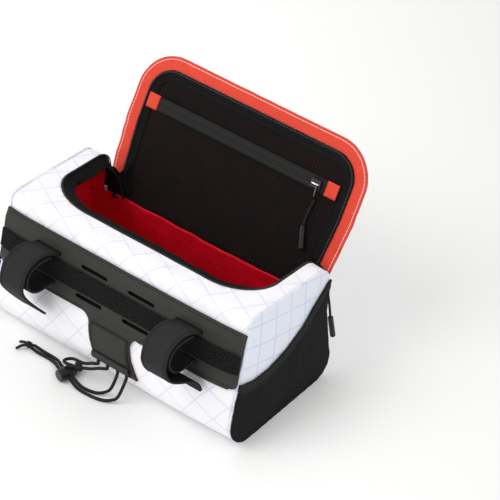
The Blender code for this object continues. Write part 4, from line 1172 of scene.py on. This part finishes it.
def addStrap(name, node, x, tail, skew):
    origin = skin(0, bandAt)
    down = (skin(0, bandAt + band["height"]) - origin).normalized()
    out = Vector((0, down.z, -down.y))
    route = [Vector(p) for p in strapRoute(tail)]
    lengths = [0.0]
    for a, b in zip(route, route[1:]):
        lengths.append(lengths[-1] + (b - a).length)
    tailAt = len(route) * 2 // 3

    def place(w, t, face=1):
        # face is 1 on the strap's inner side and -1 on its outer side
        i = min(max(bisect_right(lengths, t) - 1, 0), len(route) - 2)
        share = (t - lengths[i]) / (lengths[i + 1] - lengths[i])
        spot = route[i].lerp(route[i + 1], share)
        before = (route[i + 1] - route[max(i - 1, 0)]).normalized()
        after = (route[min(i + 2, len(route) - 1)] - route[i]).normalized()
        along = before.lerp(after, share).normalized()
        spot = spot + Vector((along.y, -along.x)) * face * strap["wall"] / 2
        shift = x + skew * max(0, (i + share - tailAt) / (len(route) - 1 - tailAt)) ** 2
        return origin + down * spot.x + out * spot.y + Vector((shift + w, 0, 0))

    wide = strap["width"] / 2
    nip = 0.0015
    outline = [(-wide, nip), (-wide + nip, 0), (wide - nip, 0), (wide, nip), (wide, lengths[-1] - nip),
               (wide - nip, lengths[-1]), (-wide + nip, lengths[-1]), (-wide, lengths[-1] - nip)]
    obj = layCloth(name, [outline], 0.003, place, strap["wall"], "loopPile", "strapFabric")
    obj.modifiers["thickness"].material_offset_rim = 1
    wear(obj, [node])
    steps = 200
    outer = lengths[-1] * 0.45  # the stitched edges of the outer turn
    rows = [[place(w, outer + (lengths[-1] - outer) * i / steps, -1.1) for i in range(steps)]
            for w in (-wide + strap["stitchInset"], wide - strap["stitchInset"])]
    addStitches(name + "Stitches", rows, "blackThread")


addBand()
addStrap("strapLeft", "strap_left", -band["pitch"] * 1.5, strap["hanging"], 0)
addStrap("strapRight", "strap_right", band["pitch"] * 1.5, strap["tucked"], strap["tuckSkew"])
print("band and straps on")


# CAD nodes that keep their shape get their finishes

kept = {
    "main_slider": "blackMoulded",
    "main_pull_grip": "blackMoulded",
    "pocket_slider": "blackMoulded",
    "pocket_pull_wire": "darkMetal",
    "pocket_pull_cord": "braidedCord",
    "pocket_pull_grip": "blackMoulded",
    "cord_lock_body": "blackMoulded",
    "cord_lock_button": "blackMoulded",
}


def finishNodes():
    for node, finish in kept.items():
        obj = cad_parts[node]
        obj.data.materials.clear()
        obj.data.materials.append(finishes[finish])


finishNodes()
print("hardware finished")


# Floor and light

light = {
    "floor": (0.93, 0.93, 0.925),
    "floorFarPaintedShade": (0.72, 0.72, 0.71),
    # The floor's far right and back are painted darker: painted shade where the studio light falls off
    "world": 0.85,
    "key": (-0.9, -1.3, 2.2, 23.0, 1.6),
    "fill": (1.6, 0.6, 1.6, 5.0, 1.6),
    "low": (-0.7, -1.7, 0.45, 4.5, 1.4),
}


def addLamp(name, x, y, z, power, size):
    lamp = bpy.data.lights.new(name, "AREA")
    lamp.energy = power
    lamp.size = size
    obj = bpy.data.objects.new(name, lamp)
    bpy.context.scene.collection.objects.link(obj)
    place = Vector((x, y, z))
    obj.matrix_world = Matrix.Translation(place) @ place.to_track_quat("Z", "Y").to_matrix().to_4x4()


def addStudio():
    floor = bmesh.new()
    bmesh.ops.create_grid(floor, x_segments=1, y_segments=1, size=6)
    tree, shader = newFinish("paleFloor", light["floor"], 0.9)
    # Painted shade: the floor's colour fades to the darker far colour towards the right and back
    across = addNode(tree, "ShaderNodeSeparateXYZ", Vector=objectPlace(tree))
    along = addNode(tree, "ShaderNodeMath", {"operation": "ADD"}, i0=across.outputs[0], i1=across.outputs[1]).outputs[0]
    fade = addNode(tree, "ShaderNodeMapRange", Value=along, From_Min=0.1, From_Max=0.9).outputs[0]
    tree.links.new(blendColors(tree, fade, light["floor"], light["floorFarPaintedShade"]), shader.inputs["Base Color"])
    obj = addPiece("floor", floor, "paleFloor", False)
    world = bpy.data.worlds.new("studio")
    world.use_nodes = True
    world.node_tree.nodes["Background"].inputs["Color"].default_value = (1.0, 0.995, 0.99, 1)
    world.node_tree.nodes["Background"].inputs["Strength"].default_value = light["world"]
    bpy.context.scene.world = world
    addLamp("key", *light["key"])
    addLamp("fill", *light["fill"])
    addLamp("low", *light["low"])
    bpy.context.scene.view_settings.view_transform = "Standard"


addStudio()
print("studio lit")
